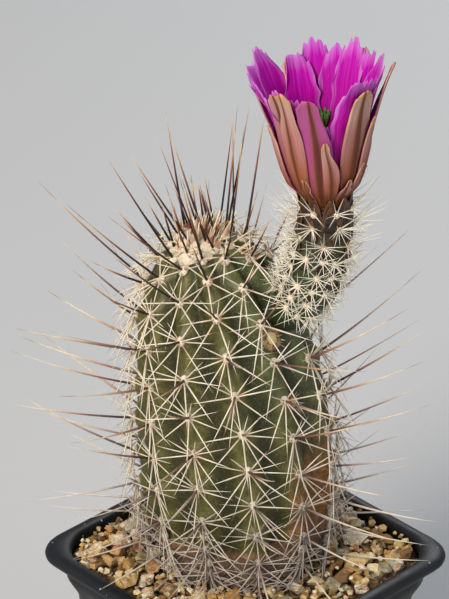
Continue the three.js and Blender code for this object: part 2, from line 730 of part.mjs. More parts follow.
// [degrees from the bloom's face, height, half width, flare at the tip]
const SHORT_TEPALS = [
  [5, 25, 2.4, 0],
  [34, 11, 2, 0],
  [62, 15, 2.2, 0],
  [90, 11, 2, 0],
  [118, 20, 2.4, 0],
  [178, 20, 2.4, 0],
  [-135, 18, 2.4, 0],
  [-80, 26, 2.8, 0],
  [-38, 12, 2.2, 0],
];
const OUTER_TEPALS = [
  [-150, 39, 3.6, 0.4],
  [-105, 38, 3.4, 1.8],
  [-52, 38.5, 3.6, 0],
  [-12, 38.5, 3.9, 0],
  [45, 39, 3.9, 0],
  [86, 41.5, 3.4, 0.9],
  [140, 40, 3.6, 0.4],
];
const INNER_TEPALS = [
  [-170, 42, 4.6, 0],
  [-153, 39, 3.8, -0.4],
  [-124, 42.5, 4.4, 0.8],
  [-97, 41, 4.5, 1.4],
  [-72, 39, 4.2, 0.6],
  [-46, 38.5, 4.4, 0],
  [-22, 37.5, 4.2, -0.4],
  [4, 29, 3.4, 0],
  [32, 42, 4.6, -0.6],
  [54, 40.5, 4.4, 0],
  [78, 41, 4.2, -0.4],
  [100, 42.5, 4.4, 0.2],
  [122, 41, 3.8, -0.4],
  [144, 43, 4, 0],
  [167, 40.5, 4, -0.4],
];

function whorlOf(ring, thick, height, tables) {
  const solids = [solidOf(whorlRing(ring, thick, height))];
  for (const { rows, depths, point } of tables)
    rows.forEach(([degrees, reach, half, flare], i) => {
      const depth = depths[i % depths.length];
      solids.push(solidOf(tepal({ angle: degToRad(degrees), reach, half, depth, ring, flare, point })));
    });
  return join(solids);
}

function makeOuterTepals() {
  return whorlOf(5.9, 1.1, 2.2, [
    { rows: SHORT_TEPALS, depths: [0.1], point: 0.8 },
    { rows: OUTER_TEPALS, depths: [-1], point: 0.75 },
  ]);
}

function makeInnerTepals() {
  return whorlOf(4.1, 1.1, 2.2, [{ rows: INNER_TEPALS, depths: [-2.2, -3.3], point: 0.42 }]);
}

// ---------------------------------------------------------------- stamens and pistil
const STAMENS = 18;
const LOBES = 8;

function makeStamens() {
  const solids = [solidOf(whorlRing(2.5, 1.2, 1.6))];
  for (let i = 0; i < STAMENS; i++) {
    const random = seeded(7000 + i);
    const angle = (2 * Math.PI * (i + 0.3 * random())) / STAMENS;
    const reach = 14 + 5 * random();
    const spread = 4 + 1.4 * (i % 2);
    const head = inBloom(angle, spread + 0.8, reach);
    const line = [inBloom(angle, 2.5, 0.9), inBloom(angle, spread, reach * 0.55), head];
    solids.push(solidOf(needle(line, [0.4, 0.36])));
    const anther = new THREE.OctahedronGeometry(0.9).scale(0.8, 0.8, 1.3);
    solids.push(solidOf(anther.translate(head.x, head.y, head.z - 0.4)));
  }
  return join(solids);
}

function makePistil() {
  const style = [inBloom(0, 0, GAP), inBloom(0, 0, 23.5), inBloom(0, 0, 25.4)];
  const solids = [solidOf(needle(style, [1.1, 1.2], 8))];
  for (let i = 0; i < LOBES; i++) {
    const angle = (2 * Math.PI * i) / LOBES;
    const line = [inBloom(angle, 0.2, 22.6), inBloom(angle, 1.8, 25), inBloom(angle, 2.4, 28.4)];
    solids.push(solidOf(needle(line, [0.6, 0.7], 4)));
  }
  return join(solids);
}

// ---------------------------------------------------------------- mix and gravel
function makeMix(hole) {
  const levels = [BASE_THICK + GAP, ...WALL_HEIGHTS.slice(1, 3), SOIL_TOP];
  return cut(solidOf(loft(levels.map((z) => insideRing(z, GAP)))), hole);
}

function findStonePlaces() {
  const random = seeded(42);
  const placed = [];
  const wall = insideRing(BED_TOP, GAP)[0].x; // half the width inside
  const middle = lean(0, 0, SOIL_LINE);
  for (let tries = 0; tries < 9000 && placed.length < STONE_COUNT; tries++) {
    const size = lerp(2.2, 4.2, random() ** 1.5);
    const x = (2 * random() - 1) * (wall - size);
    const y = (2 * random() - 1) * (wall - size);
    const corner = Math.hypot(Math.max(Math.abs(x) - 29, 0), Math.max(Math.abs(y) - 29, 0));
    const nearStem = Math.hypot(x - middle.x, y - middle.y) < 24 + size;
    const nearStone = placed.some((one) => Math.hypot(x - one.x, y - one.y) < 0.88 * (size + one.size));
    if (corner < 10 - size && !nearStem && !nearStone) placed.push({ x, y, size });
  }
  return placed;
}

// A chip of stone is a box with its corners pulled in at random, turned and half sunk in the bed.
function stoneSolid({ x, y, size }, i) {
  const random = seeded(9000 + i);
  const box = new THREE.BoxGeometry(2 * size, 1.7 * size, 1.15 * size);
  box.deleteAttribute("normal");
  box.deleteAttribute("uv");
  const stone = mergeVertices(box);
  const corners = stone.attributes.position;
  for (let k = 0; k < corners.count; k++) {
    const pull = () => lerp(0.58, 1, random());
    corners.setXYZ(k, corners.getX(k) * pull(), corners.getY(k) * pull(), corners.getZ(k) * pull());
  }
  stone.rotateY(0.4 * (random() - 0.5)).rotateX(0.4 * (random() - 0.5)).rotateZ(2 * Math.PI * random());
  stone.computeBoundingBox();
  const top = lerp(BED_TOP + 1.2, STONE_TOP, 0.5 * random() + 0.25 * (size - 2.2));
  return solidOf(stone.translate(x, y, Math.min(top, STONE_TOP) - stone.boundingBox.max.z));
}

function makeGravel(hole) {
  const bed = solidOf(loft([SOIL_TOP + GAP, BED_TOP].map((z) => insideRing(z, GAP))));
  return cut(join([bed, ...findStonePlaces().map(stoneSolid)]), hole);
}

// ---------------------------------------------------------------- the object
const object = new THREE.Group();

function add(name, solid, color, roughness) {
  const material = new THREE.MeshStandardMaterial({ color, roughness, metalness: 0 });
  const mesh = new THREE.Mesh(geometryOf(solid), material);
  mesh.name = name;
  object.add(mesh);
}

const hole = stemHole();
const areoles = growSpines();
add("pot", makePot(), "#2b2f33", 0.5);
add("potting_mix", makeMix(hole), "#4b3b2c", 0.95);
add("gravel", makeGravel(hole), "#c09a62", 0.9);
add("stem", makeStem(areoles), "#66783f", 0.6);
add("flower_tube", makeTube(areoles), "#4c4a2c", 0.6);
add("outer_tepals", makeOuterTepals(), "#a9706a", 0.5);
add("inner_tepals", makeInnerTepals(), "#c316b4", 0.45);
add("stamens", makeStamens(), "#d8b84a", 0.7);
add("pistil", makePistil(), "#5f9a2e", 0.5);

export default object;
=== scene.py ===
# %% [markdown]
# # A hedgehog cactus in flower
#
# The plant is one ribbed stem about as tall as a hand, dressed in cream and brown spines, with one magenta
# bloom on its shoulder. It stands in gravel in a square plastic nursery pot of 9 cm.
#
# The solids from the CAD step give every piece its place and size. Here each of them gets a finer skin of
# the same form, or a better material. Work is in metres, in the same frame as the solids, with +Z up.

# %% Blender, the solids and their box
import math

import bmesh
import bpy
import numpy as np
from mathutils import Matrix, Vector
from mathutils.kdtree import KDTree


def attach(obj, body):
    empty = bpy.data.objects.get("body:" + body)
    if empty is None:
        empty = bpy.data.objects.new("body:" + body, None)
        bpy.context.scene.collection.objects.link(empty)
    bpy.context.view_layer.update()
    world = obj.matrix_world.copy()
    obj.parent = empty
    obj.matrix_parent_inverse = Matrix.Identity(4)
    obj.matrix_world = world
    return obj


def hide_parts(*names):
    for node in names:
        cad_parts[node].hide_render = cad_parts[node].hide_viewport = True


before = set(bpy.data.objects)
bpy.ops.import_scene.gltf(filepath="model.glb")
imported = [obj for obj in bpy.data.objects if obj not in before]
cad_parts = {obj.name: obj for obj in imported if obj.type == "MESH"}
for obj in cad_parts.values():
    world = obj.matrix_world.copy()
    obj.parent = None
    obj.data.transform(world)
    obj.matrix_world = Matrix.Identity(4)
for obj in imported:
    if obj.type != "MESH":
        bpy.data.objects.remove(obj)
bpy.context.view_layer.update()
print("solids:", sorted(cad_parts))

# %% [markdown]
# ## Small helpers
#
# Sizes below are in millimetres, because that is how a gardener or a pot maker would say them, and `MM`
# turns them into Blender's metres. Colours are written as sRGB hex values, as a colour picker shows them,
# but a shader wants linear light, so one function turns them.
#
# A node tree is a list of nodes, each with settings and with inputs that are either a number or another
# node's output. One function that adds such a node is all that the trees below need.

# %% Units, colours and one function for a node
MM = 0.001
TURN = 2 * math.pi


def linear(hex_colour):
    """An sRGB hex colour as linear red, green, blue and alpha."""
    parts = [int(hex_colour[i : i + 2], 16) / 255 for i in (1, 3, 5)]
    return [c / 12.92 if c <= 0.04045 else ((c + 0.055) / 1.055) ** 2.4 for c in parts] + [1.0]


def feed(made, inputs):
    """Sets a node's inputs: a dict from a socket's name or number to a value, a hex colour, another node's
    output, or another node, which stands for the first of its outputs that is in use."""
    for key, value in dict(inputs).items():
        if isinstance(value, str) and value.startswith("#"):
            value = linear(value)
        if isinstance(value, bpy.types.Node):
            value = next(output for output in value.outputs if output.enabled)
        if isinstance(value, bpy.types.NodeSocket):
            made.id_data.links.new(value, made.inputs[key])
        else:
            made.inputs[key].default_value = value


def node(tree, kind, inputs=(), ramp=(), **settings):
    """Adds a node, with its inputs and, for a colour ramp, its list of (place, hex colour). A shader node's
    kind is written without its prefix, so "Math" stands for "ShaderNodeMath"."""
    made = tree.nodes.new(kind if "Node" in kind else f"ShaderNode{kind}")
    for name, value in settings.items():
        setattr(made, name, value)
    if ramp:
        stops = made.color_ramp.elements
        stops.remove(stops[1])
        stops[0].position, stops[0].color = ramp[0][0], linear(ramp[0][1])
        for place, hex_colour in ramp[1:]:
            stops.new(place).color = linear(hex_colour)
    feed(made, inputs)
    return made


print("a cream spine in linear light:", [round(c, 3) for c in linear("#e6dcc2")[:3]])

# %% [markdown]
# A finished piece is a plain mesh that sits at the origin, with its place in its vertices. It rides on the
# one body of this object, and stands for one of the solids.

# %% From points and faces to a finished piece
def mesh_object(name, points_mm, faces, values=None, smooth=True):
    """An object made of points in millimetres and faces. values is a dict of numbers for each point."""
    mesh = bpy.data.meshes.new(name)
    points = np.asarray(points_mm, float) * MM
    mesh.from_pydata(points.tolist(), [], [list(map(int, face)) for face in faces])
    for key, numbers in (values or {}).items():
        numbers = np.asarray(numbers, float)
        kind = "FLOAT" if numbers.ndim == 1 else "FLOAT_VECTOR"
        field = "value" if numbers.ndim == 1 else "vector"
        mesh.attributes.new(key, kind, "POINT").data.foreach_set(field, numbers.ravel())
    mesh.polygons.foreach_set("use_smooth", [smooth] * len(mesh.polygons))
    mesh.update()
    made = bpy.data.objects.new(name, mesh)
    bpy.context.scene.collection.objects.link(made)
    return made


def finish(piece, material, solid):
    """The piece gets its material, and its place in the object instead of a solid."""
    piece.data.materials.clear()
    piece.data.materials.append(material)
    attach(piece, "root")
    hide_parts(solid)
    triangles = sum(len(p.vertices) - 2 for p in piece.data.polygons)
    print(f"{piece.name}: {triangles} triangles")


def grid_faces(rows, columns, closed=True):
    """Quads between rows of points, facing out where the rows run anticlockwise going up."""
    faces = []
    for j in range(rows - 1):
        for i in range(columns if closed else columns - 1):
            a, b = j * columns + i, j * columns + (i + 1) % columns
            faces.append((a, b, b + columns, a + columns))
    return faces


def closed_tube_faces(rows, columns):
    """The faces of rows of points, with a fan at each end to one more point, the lower one first."""
    faces = grid_faces(rows, columns)
    low, last = rows * columns, (rows - 1) * columns
    for i in range(columns):
        j = (i + 1) % columns
        faces += [(low, j, i), (low + 1, last + i, last + j)]
    return faces


def gathered(name, parts, smooth=True):
    """One object from a list of (points, faces) or (points, faces, dict of numbers)."""
    points, faces, values, start = [], [], {}, 0
    for part in parts:
        points.append(part[0])
        faces += [tuple(start + i for i in face) for face in part[1]]
        for key, numbers in (part[2] if len(part) > 2 else {}).items():
            values.setdefault(key, []).append(numbers)
        start += len(part[0])
    joined = {key: np.concatenate(numbers) for key, numbers in values.items()}
    return mesh_object(name, np.concatenate(points), faces, joined, smooth)


# %% [markdown]
# Growing things need chance, but the same chance each time, so that the plant looks the same in every
# render. This small generator gives the same run of numbers for the same seed, and it is the one that the
# solids were grown with, so the fine spines below stand where the solid ones do.

# %% Chance that repeats, and three small curves
WORD = 0xFFFFFFFF


def seeded(seed):
    """A function that gives a number from 0 to 1 at each call."""
    state = [seed & WORD]

    def draw():
        state[0] = (state[0] + 0x6D2B79F5) & WORD
        t = state[0]
        t = ((t ^ (t >> 15)) * (1 | t)) & WORD
        t = ((t + ((t ^ (t >> 7)) * (61 | t) & WORD)) & WORD) ^ t
        return ((t ^ (t >> 14)) & WORD) / 4294967296

    return draw


def lerp(a, b, t):
    """The number that lies between a, at t = 0, and b, at t = 1."""
    return a + (b - a) * t


def smoothstep(x, low, high):
    """0 below low, 1 above high, and a soft rise between."""
    t = np.clip((x - low) / (high - low), 0, 1)
    return t * t * (3 - 2 * t)


def unit(v):
    """Vectors made one long."""
    v = np.asarray(v, float)
    return v / np.linalg.norm(v, axis=-1, keepdims=True)


print("seed 42 starts with", round(seeded(42)(), 4))

# %% [markdown]
# ## The stage
#
# A plant portrait wants a plain floor and large soft lights. The floor here is one big pale sheet. A large
# area light on the left and above is the main light, a wider and weaker one on the right fills the shadows,
# and a small one from behind draws a bright edge on the spines. The camera looks down at 30 degrees across
# the pot's corner, with a long lens, as for a small plant on a table.

# %% Camera, lights and floor
CAMERA_BEARING = math.radians(46)
CAMERA_PITCH = math.radians(30)
CAMERA_AWAY = 950
AIM = np.array([-30.68, 21.09, 143.6])

backwards = np.array([
    math.sin(CAMERA_BEARING) * math.cos(CAMERA_PITCH),
    -math.cos(CAMERA_BEARING) * math.cos(CAMERA_PITCH),
    math.sin(CAMERA_PITCH),
])
lens = bpy.data.cameras.new("portrait_camera")
lens.sensor_width = 36
lens.lens = 192.4
lens.clip_end = 20
camera = bpy.data.objects.new("portrait_camera", lens)
bpy.context.scene.collection.objects.link(camera)
camera.location = Vector((AIM + CAMERA_AWAY * backwards) * MM)
camera.rotation_euler = Vector(-backwards).to_track_quat("-Z", "Y").to_euler()
bpy.context.scene.camera = camera
bpy.context.scene.view_settings.view_transform = "Standard"

PLANT_MIDDLE = Vector((0, 0, 0.13))
TO_RIGHT = Vector((math.cos(CAMERA_BEARING), math.sin(CAMERA_BEARING), 0))
TO_EYE = Vector((math.sin(CAMERA_BEARING), -math.cos(CAMERA_BEARING), 0))


def soft_light(name, right, near, up, size, watts, hex_colour):
    """A square area light that faces the plant, placed in metres to the right, towards the eye and up."""
    light = bpy.data.lights.new(name, "AREA")
    light.shape = "SQUARE"
    light.size = size
    light.energy = watts
    light.color = linear(hex_colour)[:3]
    lamp = bpy.data.objects.new(name, light)
    bpy.context.scene.collection.objects.link(lamp)
    lamp.location = PLANT_MIDDLE + TO_RIGHT * right + TO_EYE * near + Vector((0, 0, up))
    lamp.rotation_euler = (lamp.location - PLANT_MIDDLE).to_track_quat("Z", "Y").to_euler()


soft_light("main_light", -0.55, 0.75, 0.8, 0.45, 16.5, "#fff6ea")
soft_light("fill_light", 0.9, 0.7, 0.45, 0.9, 3.6, "#f2f6ff")
soft_light("edge_light", 0.35, -0.9, 0.75, 0.5, 7, "#ffffff")

room = bpy.data.worlds.new("soft_room")
bpy.context.scene.world = room
room.use_nodes = True
feed(room.node_tree.nodes["Background"], {"Color": "#e9edf2", "Strength": 0.2})

FLOOR_HALF = 4000
floor_corners = [(FLOOR_HALF * x, FLOOR_HALF * y, 0) for x, y in ((-1, -1), (1, -1), (1, 1), (-1, 1))]
floor = mesh_object("floor", floor_corners, [(0, 1, 2, 3)])
paper = bpy.data.materials.new("matt_paper_sweep")
paper.use_nodes = True
feed(paper.node_tree.nodes["Principled BSDF"], {"Base Color": "#bfc1c4", "Roughness": 0.85})
floor.data.materials.append(paper)
print("the camera stands", CAMERA_AWAY, "mm from", AIM)

# %% [markdown]
# ## The plan of the stem
#
# A hedgehog cactus is a fat barrel with ribs. Along the crest of each rib sit small woolly cushions, the
# areoles, on low bumps, and neighbouring ribs have them at alternate heights. Everything on the stem hangs
# on that plan, so the plan is one set of functions: the outline from root to top, the lean away from the
# flower, and a `skin` function that gives the point of the surface for any rib and any way up it.

# %% The outline and the lean
SOIL_LINE = 76
STEM_TOP = 182
RIBS = 12
RIB_DEPTH = 3.2
FIRST_RIB = 12
RIB_TWIST = -8
TUBERCLE = 0.8
PAD_RADIUS = 1.05
PAD_HEIGHT = 0.55
STONE_TOP = 78.4
STEM_OUTLINE = np.array([
    [0, 44], [9, 47], [16, 56], [20.5, 67], [23.4, 78], [26.8, 91], [28.4, 108], [27.8, 126], [25.8, 143],
    [23.2, 158], [18.4, 170.5], [10.5, 179.2], [0, STEM_TOP],
])
FACE_BEARING = math.radians(46)
SIDE = np.array([math.cos(FACE_BEARING), math.sin(FACE_BEARING), 0])
FACE = np.array([math.sin(FACE_BEARING), -math.cos(FACE_BEARING), 0])
UP = np.array([0, 0, 1.0])


def place(side, face, up):
    """A point, from how far it is to the flower's side, to the plant's face, and up."""
    side, face, up = np.broadcast_arrays(side, face, up)
    return side[..., None] * SIDE + face[..., None] * FACE + up[..., None] * UP


def through(points, t):
    """The point at t, from 0 to 1, of a smooth curve through points."""
    last = len(points) - 1
    at = np.clip(t, 0, 1) * last
    i = np.minimum(np.floor(at).astype(int), last)
    w = (at - i)[..., None]
    before, here = points[np.maximum(i - 1, 0)], points[i]
    before = np.where((i == 0)[..., None], here, before)
    ahead, beyond = points[np.minimum(i + 1, last)], points[np.minimum(i + 2, last)]
    v0, v1 = (ahead - before) / 2, (beyond - here) / 2
    cubed, squared = 2 * here - 2 * ahead + v0 + v1, -3 * here + 3 * ahead - 2 * v0 - v1
    return cubed * w**3 + squared * w**2 + v0 * w + here


stations = np.linspace(0, 1, 201)
chords = np.linalg.norm(np.diff(through(STEM_OUTLINE, stations), axis=0), axis=1)
chord_sums = np.concatenate([[0], np.cumsum(chords)])
OUTLINE_LENGTH = chord_sums[-1]


def outline_at(s):
    """The stem's radius and height, s millimetres along its outline from the root's tip."""
    return np.moveaxis(through(STEM_OUTLINE, np.interp(s, chord_sums, stations)), -1, 0)


soil_line_at = 0.0
while outline_at(np.array(soil_line_at))[1] < SOIL_LINE:
    soil_line_at += 0.25


def up_stem(z):
    """From 0 at the soil to 1 at the stem's top."""
    return np.clip((z - SOIL_LINE) / (STEM_TOP - SOIL_LINE), 0, 1)


# how far aside the stem is at the soil, what it adds evenly going up, and what it adds mostly near its top
LEAN_AT_SOIL = 1.3
LEAN_EVEN = 2.5
LEAN_CURVED = 9.5
LEAN_POWER = 2.5


def lean(side, face, z):
    """Where a point of a straight stem goes on the leaning one."""
    t = up_stem(z)
    slope = LEAN_EVEN + LEAN_CURVED * LEAN_POWER * t ** (LEAN_POWER - 1)
    tilt = np.arctan(slope / (STEM_TOP - SOIL_LINE))
    shift = -LEAN_AT_SOIL - LEAN_EVEN * t - LEAN_CURVED * t**LEAN_POWER
    return place(shift + side * np.cos(tilt), face - 4, z + side * np.sin(tilt))


print(f"outline {OUTLINE_LENGTH:.2f} mm long, soil line at {soil_line_at} mm")

# %% Ribs, steps from areole to areole, and the skin
areole_steps = [soil_line_at + 5]
while True:
    s = areole_steps[-1]
    rise = (s - soil_line_at) / (OUTLINE_LENGTH - soil_line_at)
    pitch = 9 + 2.8 * math.sin(math.pi * rise)
    following = s + pitch / 2 * min(max((OUTLINE_LENGTH - s) / 20, 0.36), 1)
    if following > OUTLINE_LENGTH - 3:
        break
    areole_steps.append(following)
areole_steps = np.array(areole_steps)


def bump_up_rib(rib, s):
    """From 0 midway between two areoles of a rib to 1 at an areole."""
    step = np.interp(s, areole_steps, np.arange(len(areole_steps)))
    wave = 0.5 + 0.5 * np.cos(math.pi * (step - np.round(rib) % 2))
    below = smoothstep(s, areole_steps[0] - 5, areole_steps[0])
    return wave**1.5 * below * (1 - smoothstep(s, areole_steps[-1], OUTLINE_LENGTH))


def skin(rib, phase, s, bulge=0.0, outward=0.0):
    """A point of the skin. phase goes from 0 on a rib's crest to 1 on the next."""
    rib, phase, s = np.broadcast_arrays(np.asarray(rib, float), phase, s)
    radius, z = outline_at(s)
    furrow = np.abs(np.sin(math.pi * phase)) ** 2.4
    depth = RIB_DEPTH * smoothstep(radius, 1, 24) * smoothstep(z, SOIL_LINE - 8, SOIL_LINE + 22)
    r = radius - depth * furrow + bulge * (1 - furrow) + outward
    angle = np.radians(FIRST_RIB + RIB_TWIST * up_stem(z) + 360 / RIBS * (rib + phase))
    return lean(r * np.sin(angle), r * np.cos(angle), z)


def skin_ways(rib, phase, s):
    """The ways up the rib, to its side and out of the skin."""
    up = unit(skin(rib, phase, s + 0.5) - skin(rib, phase, s - 0.5))
    aside = unit(skin(rib, phase + 0.02, s) - skin(rib, phase - 0.02, s))
    return up, aside, -unit(np.cross(up, aside))


def areole_at(rib, s):
    """An areole's foot on the skin, the middle of its pad, and the ways at it."""
    at = skin(rib, 0.0, s, TUBERCLE)
    up, aside, out = skin_ways(rib, 0.0, s)
    middle = at + out * PAD_HEIGHT
    return {"rib": rib, "s": s, "at": at, "up": up, "aside": aside, "out": out, "middle": middle}


areoles = []
for step, s in enumerate(areole_steps):
    for rib in range(RIBS):
        if (step + rib) % 2 == 0:
            areole = areole_at(rib, s)
            young = 1 - float(smoothstep(OUTLINE_LENGTH - s, 3, 20))
            low = 1 - float(smoothstep(s - soil_line_at, 0, 70))
            crowded = 1 - float(smoothstep(OUTLINE_LENGTH - s, 24, 40))
            areoles.append({**areole, "step": step, "young": young, "low": low, "crowded": crowded})
print(len(areoles), "areoles on", RIBS, "ribs")

# %% [markdown]
# ## Stem
#
# The skin is a grid of points, 18 to a rib and 221 from root to tip, bent into shape by `skin`. A
# sculpted mesh would do as well, but a rule keeps every bump exactly under its areole. Each point also
# carries a few numbers that the material reads: how near it is to a rib's crest, how high up it is, how far
# from the nearest areole, and how much cork it has grown. Old skin near the soil turns to cork on a real
# plant, most of all on the side that gets the sun.

# %% The skin's mesh
RIB_COLUMNS = 18
columns = RIBS * RIB_COLUMNS
skin_s = np.concatenate([
    np.linspace(2, soil_line_at, 16, endpoint=False), np.linspace(soil_line_at, OUTLINE_LENGTH - 0.6, 205),
])
column = np.arange(columns)
rib_of = np.round(column / RIB_COLUMNS)
phase_of = column / RIB_COLUMNS - rib_of
rib_grid, s_grid = np.meshgrid(rib_of, skin_s)
phase_grid = np.broadcast_to(phase_of, s_grid.shape)
bumps = bump_up_rib(rib_grid, s_grid)
skin_points = skin(rib_grid, phase_grid, s_grid, 1.05 * bumps - 0.15)

# a crease crosses each rib just above every areole, deepest on the crest
folds = np.zeros(s_grid.shape)
for areole in areoles:
    at_rib = (rib_grid % RIBS) == areole["rib"]
    above = s_grid - areole["s"] - 2.6
    folds += at_rib * np.exp(-((above / 0.9) ** 2) - (phase_grid / 0.24) ** 2) * (1 - areole["young"])
height_grid = outline_at(s_grid)[1]
middle_line = lean(0.0, 0.0, height_grid)
outwards = unit(skin_points - middle_line)
skin_points = skin_points - 0.35 * folds[..., None] * outwards

# shallow waves in the skin, and level wrinkles where the foot has shrunk
wrinkle_noise = np.random.default_rng(3)
waves = np.zeros(s_grid.shape)
for _ in range(9):
    turns = wrinkle_noise.integers(2, 30)
    climbs, start = wrinkle_noise.uniform(0.1, 0.8), wrinkle_noise.uniform(0, 7)
    waves += np.sin(TURN * turns * column / columns + climbs * s_grid + start) / 9
foot = 1 - smoothstep(height_grid, SOIL_LINE + 4, SOIL_LINE + 22)
level = np.sin(2.6 * s_grid + 2.2 * waves) * foot
skin_points = skin_points + (0.28 * waves + 0.16 * level)[..., None] * outwards

# %% Cork, and how near the areoles are
nearest = KDTree(len(areoles))
for i, areole in enumerate(areoles):
    nearest.insert(areole["at"], i)
nearest.balance()
flat_points = skin_points.reshape(-1, 3)
from_areole = np.array([nearest.find(p)[2] for p in flat_points])

from_middle = skin_points - middle_line
to_flower = np.clip((from_middle @ SIDE) / 28, -1, 1)
sunny = smoothstep(to_flower, 0.25, 0.75)
cork = 1.15 * (1 - smoothstep(height_grid, SOIL_LINE + 10, SOIL_LINE + 25))
cork = np.maximum(cork, sunny * (0.95 - 0.75 * smoothstep(height_grid, 100, 138)))
shade = smoothstep(to_flower, -0.2, 0.9) * smoothstep(height_grid, 118, 160)

tips = [lean(0.0, 0.0, STEM_OUTLINE[0, 1]), lean(0.0, 0.0, STEM_TOP - 0.4)]


def with_ends(grid, low, high):
    """A number for each point of a grid, and for the last points at its two ends."""
    return np.concatenate([np.asarray(grid, float).ravel(), [low, high]])


stem = mesh_object(
    "stem_skin",
    np.concatenate([flat_points, tips]),
    closed_tube_faces(len(skin_s), columns),
    {
        "crest": with_ends(1 - np.abs(np.sin(math.pi * phase_grid)) ** 2.4, 1, 1),
        "rise": with_ends(up_stem(height_grid), 0, 1),
        "from_areole": with_ends(from_areole, 9, 0),
        "cork": with_ends(cork, 1, 0),
        "bloom_side": with_ends(shade, 0, 0),
    },
)
print("skin from z", round(float(flat_points[:, 2].min()), 1), "to", round(float(flat_points[:, 2].max()), 1))

# %% [markdown]
# ### Cactus skin
#
# Cactus skin is a living wax-coated rind. To the eye it is a dull olive green with bluer patches where the
# wax is young, fine pale dots a third of a millimetre wide where it breathes, and a pale bloom close to each
# areole. The furrows are darkened with painted shade. Old skin is cork: rust and tan, greyer at the foot,
# and matt. The wax gives a broad soft sheen, so roughness is about 0.5, and light goes a little way in
# before it comes out again.

# %% Material: waxy cactus skin with cork
def surface(name, *numbers):
    """A new material, its tree, its shader, its place in millimetres, and each of the points' own numbers."""
    material = bpy.data.materials.new(name)
    material.use_nodes = True
    tree = material.node_tree
    where = node(tree, "TexCoord").outputs["Object"]
    in_mm = node(tree, "VectorMath", {0: where, "Scale": 1 / MM}, operation="SCALE")
    own = [node(tree, "Attribute", attribute_name=number).outputs["Fac"] for number in numbers]
    return material, tree, tree.nodes["Principled BSDF"], in_mm, *own


skin_material, tree, shader, in_mm, crest, rise, areole_away, cork_grown, by_bloom = surface(
    "waxy_cactus_skin", "crest", "rise", "from_areole", "cork", "bloom_side",
)

# cloudy greens about 9 mm wide, bluer on the bloom's side where the wax is young
clouds = node(tree, "TexNoise", {"Vector": in_mm, "Scale": 1 / 7, "Detail": 6, "Roughness": 0.68})
olive = node(tree, "ValToRGB", {0: clouds}, [(0.3, "#343617"), (0.5, "#555428"), (0.72, "#78733e")])
bluish = node(tree, "ValToRGB", {0: clouds}, [(0.3, "#2e3a20"), (0.5, "#4b5a38"), (0.72, "#6c7850")])
green = node(tree, "Mix", {0: by_bloom, 6: olive, 7: bluish}, data_type="RGBA")

# painted shade: the furrows are darkened; the skin is paler within 3 mm of an areole
furrow_shade = node(tree, "MapRange", {0: crest, 1: 0.8, 2: 0.05, 3: 0.0, 4: 0.75})
furrow_shaded = node(tree, "Mix", {0: furrow_shade, 6: green, 7: "#191e0b"}, data_type="RGBA")
near_pad = node(tree, "MapRange", {0: areole_away, 1: 3.2, 2: 1.2, 3: 0.0, 4: 0.45})
haloed = node(tree, "Mix", {0: near_pad, 6: furrow_shaded, 7: "#7a7850"}, data_type="RGBA")

# breathing dots: 0.3 mm on the plant, drawn a little coarser here so that they show
cells = node(tree, "TexVoronoi", {"Vector": in_mm, "Scale": 1 / 0.75})
dots = node(tree, "MapRange", {0: cells, 1: 0.34, 2: 0.12, 3: 0.0, 4: 0.3})
dotted = node(tree, "Mix", {0: dots, 6: haloed, 7: "#9c9c70"}, data_type="RGBA")

# a finer mottling, 2 to 3 mm wide, from light and shade among the cells under the wax
speckle = node(tree, "TexNoise", {"Vector": in_mm, "Scale": 1 / 2.4, "Detail": 4, "Roughness": 0.6})
speckle_light = node(tree, "MapRange", {0: speckle, 1: 0.3, 2: 0.7, 3: 0.72, 4: 1.22})
mottled = node(tree, "HueSaturation", {"Value": speckle_light, "Saturation": 1.08, "Color": dotted})

# cork starts in patches and joins up
patches = node(tree, "TexNoise", {"Vector": in_mm, "Scale": 1 / 6, "Detail": 6, "Roughness": 0.65})
cork_sum = node(tree, "Math", {0: patches, 1: 1.5, 2: cork_grown}, operation="MULTIPLY_ADD")
corky = node(tree, "MapRange", {0: cork_sum, 1: 1.28, 2: 1.5})
flecks = node(tree, "TexNoise", {"Vector": in_mm, "Scale": 1 / 1.4, "Detail": 4, "Roughness": 0.7})
rust = node(tree, "ValToRGB", {0: flecks}, [(0.3, "#54351a"), (0.5, "#84592c"), (0.75, "#a88354")])
weathered = node(tree, "ValToRGB", {0: flecks}, [(0.3, "#483a32"), (0.5, "#6c584a"), (0.75, "#96806d")])
at_foot = node(tree, "MapRange", {0: rise, 1: 0.2, 2: 0.09})
cork_colour = node(tree, "Mix", {0: at_foot, 6: rust, 7: weathered}, data_type="RGBA")
whole = node(tree, "Mix", {0: corky, 6: mottled, 7: cork_colour}, data_type="RGBA")

rough = node(tree, "MapRange", {0: corky, 3: 0.5, 4: 0.85})
grain = node(tree, "Math", {0: flecks, 1: patches}, operation="ADD")
bumps_node = node(tree, "Bump", {"Height": grain, "Strength": 0.35, "Distance": 0.5 * MM})
feed(shader, {"Base Color": whole, "Roughness": rough, "Normal": bumps_node})
finish(stem, skin_material, "stem")

# %% [markdown]
# ## Trees that plant things on points
#
# Spines, wool, anthers and stones are all the same job: one small shape, set on many points, each turned
# and sized by its own numbers. Geometry Nodes do it well, because the tree can be read and changed in one
# place. The points come from the plan with their numbers as named attributes. The helper below runs a tree
# on such points and keeps the result as a plain mesh.

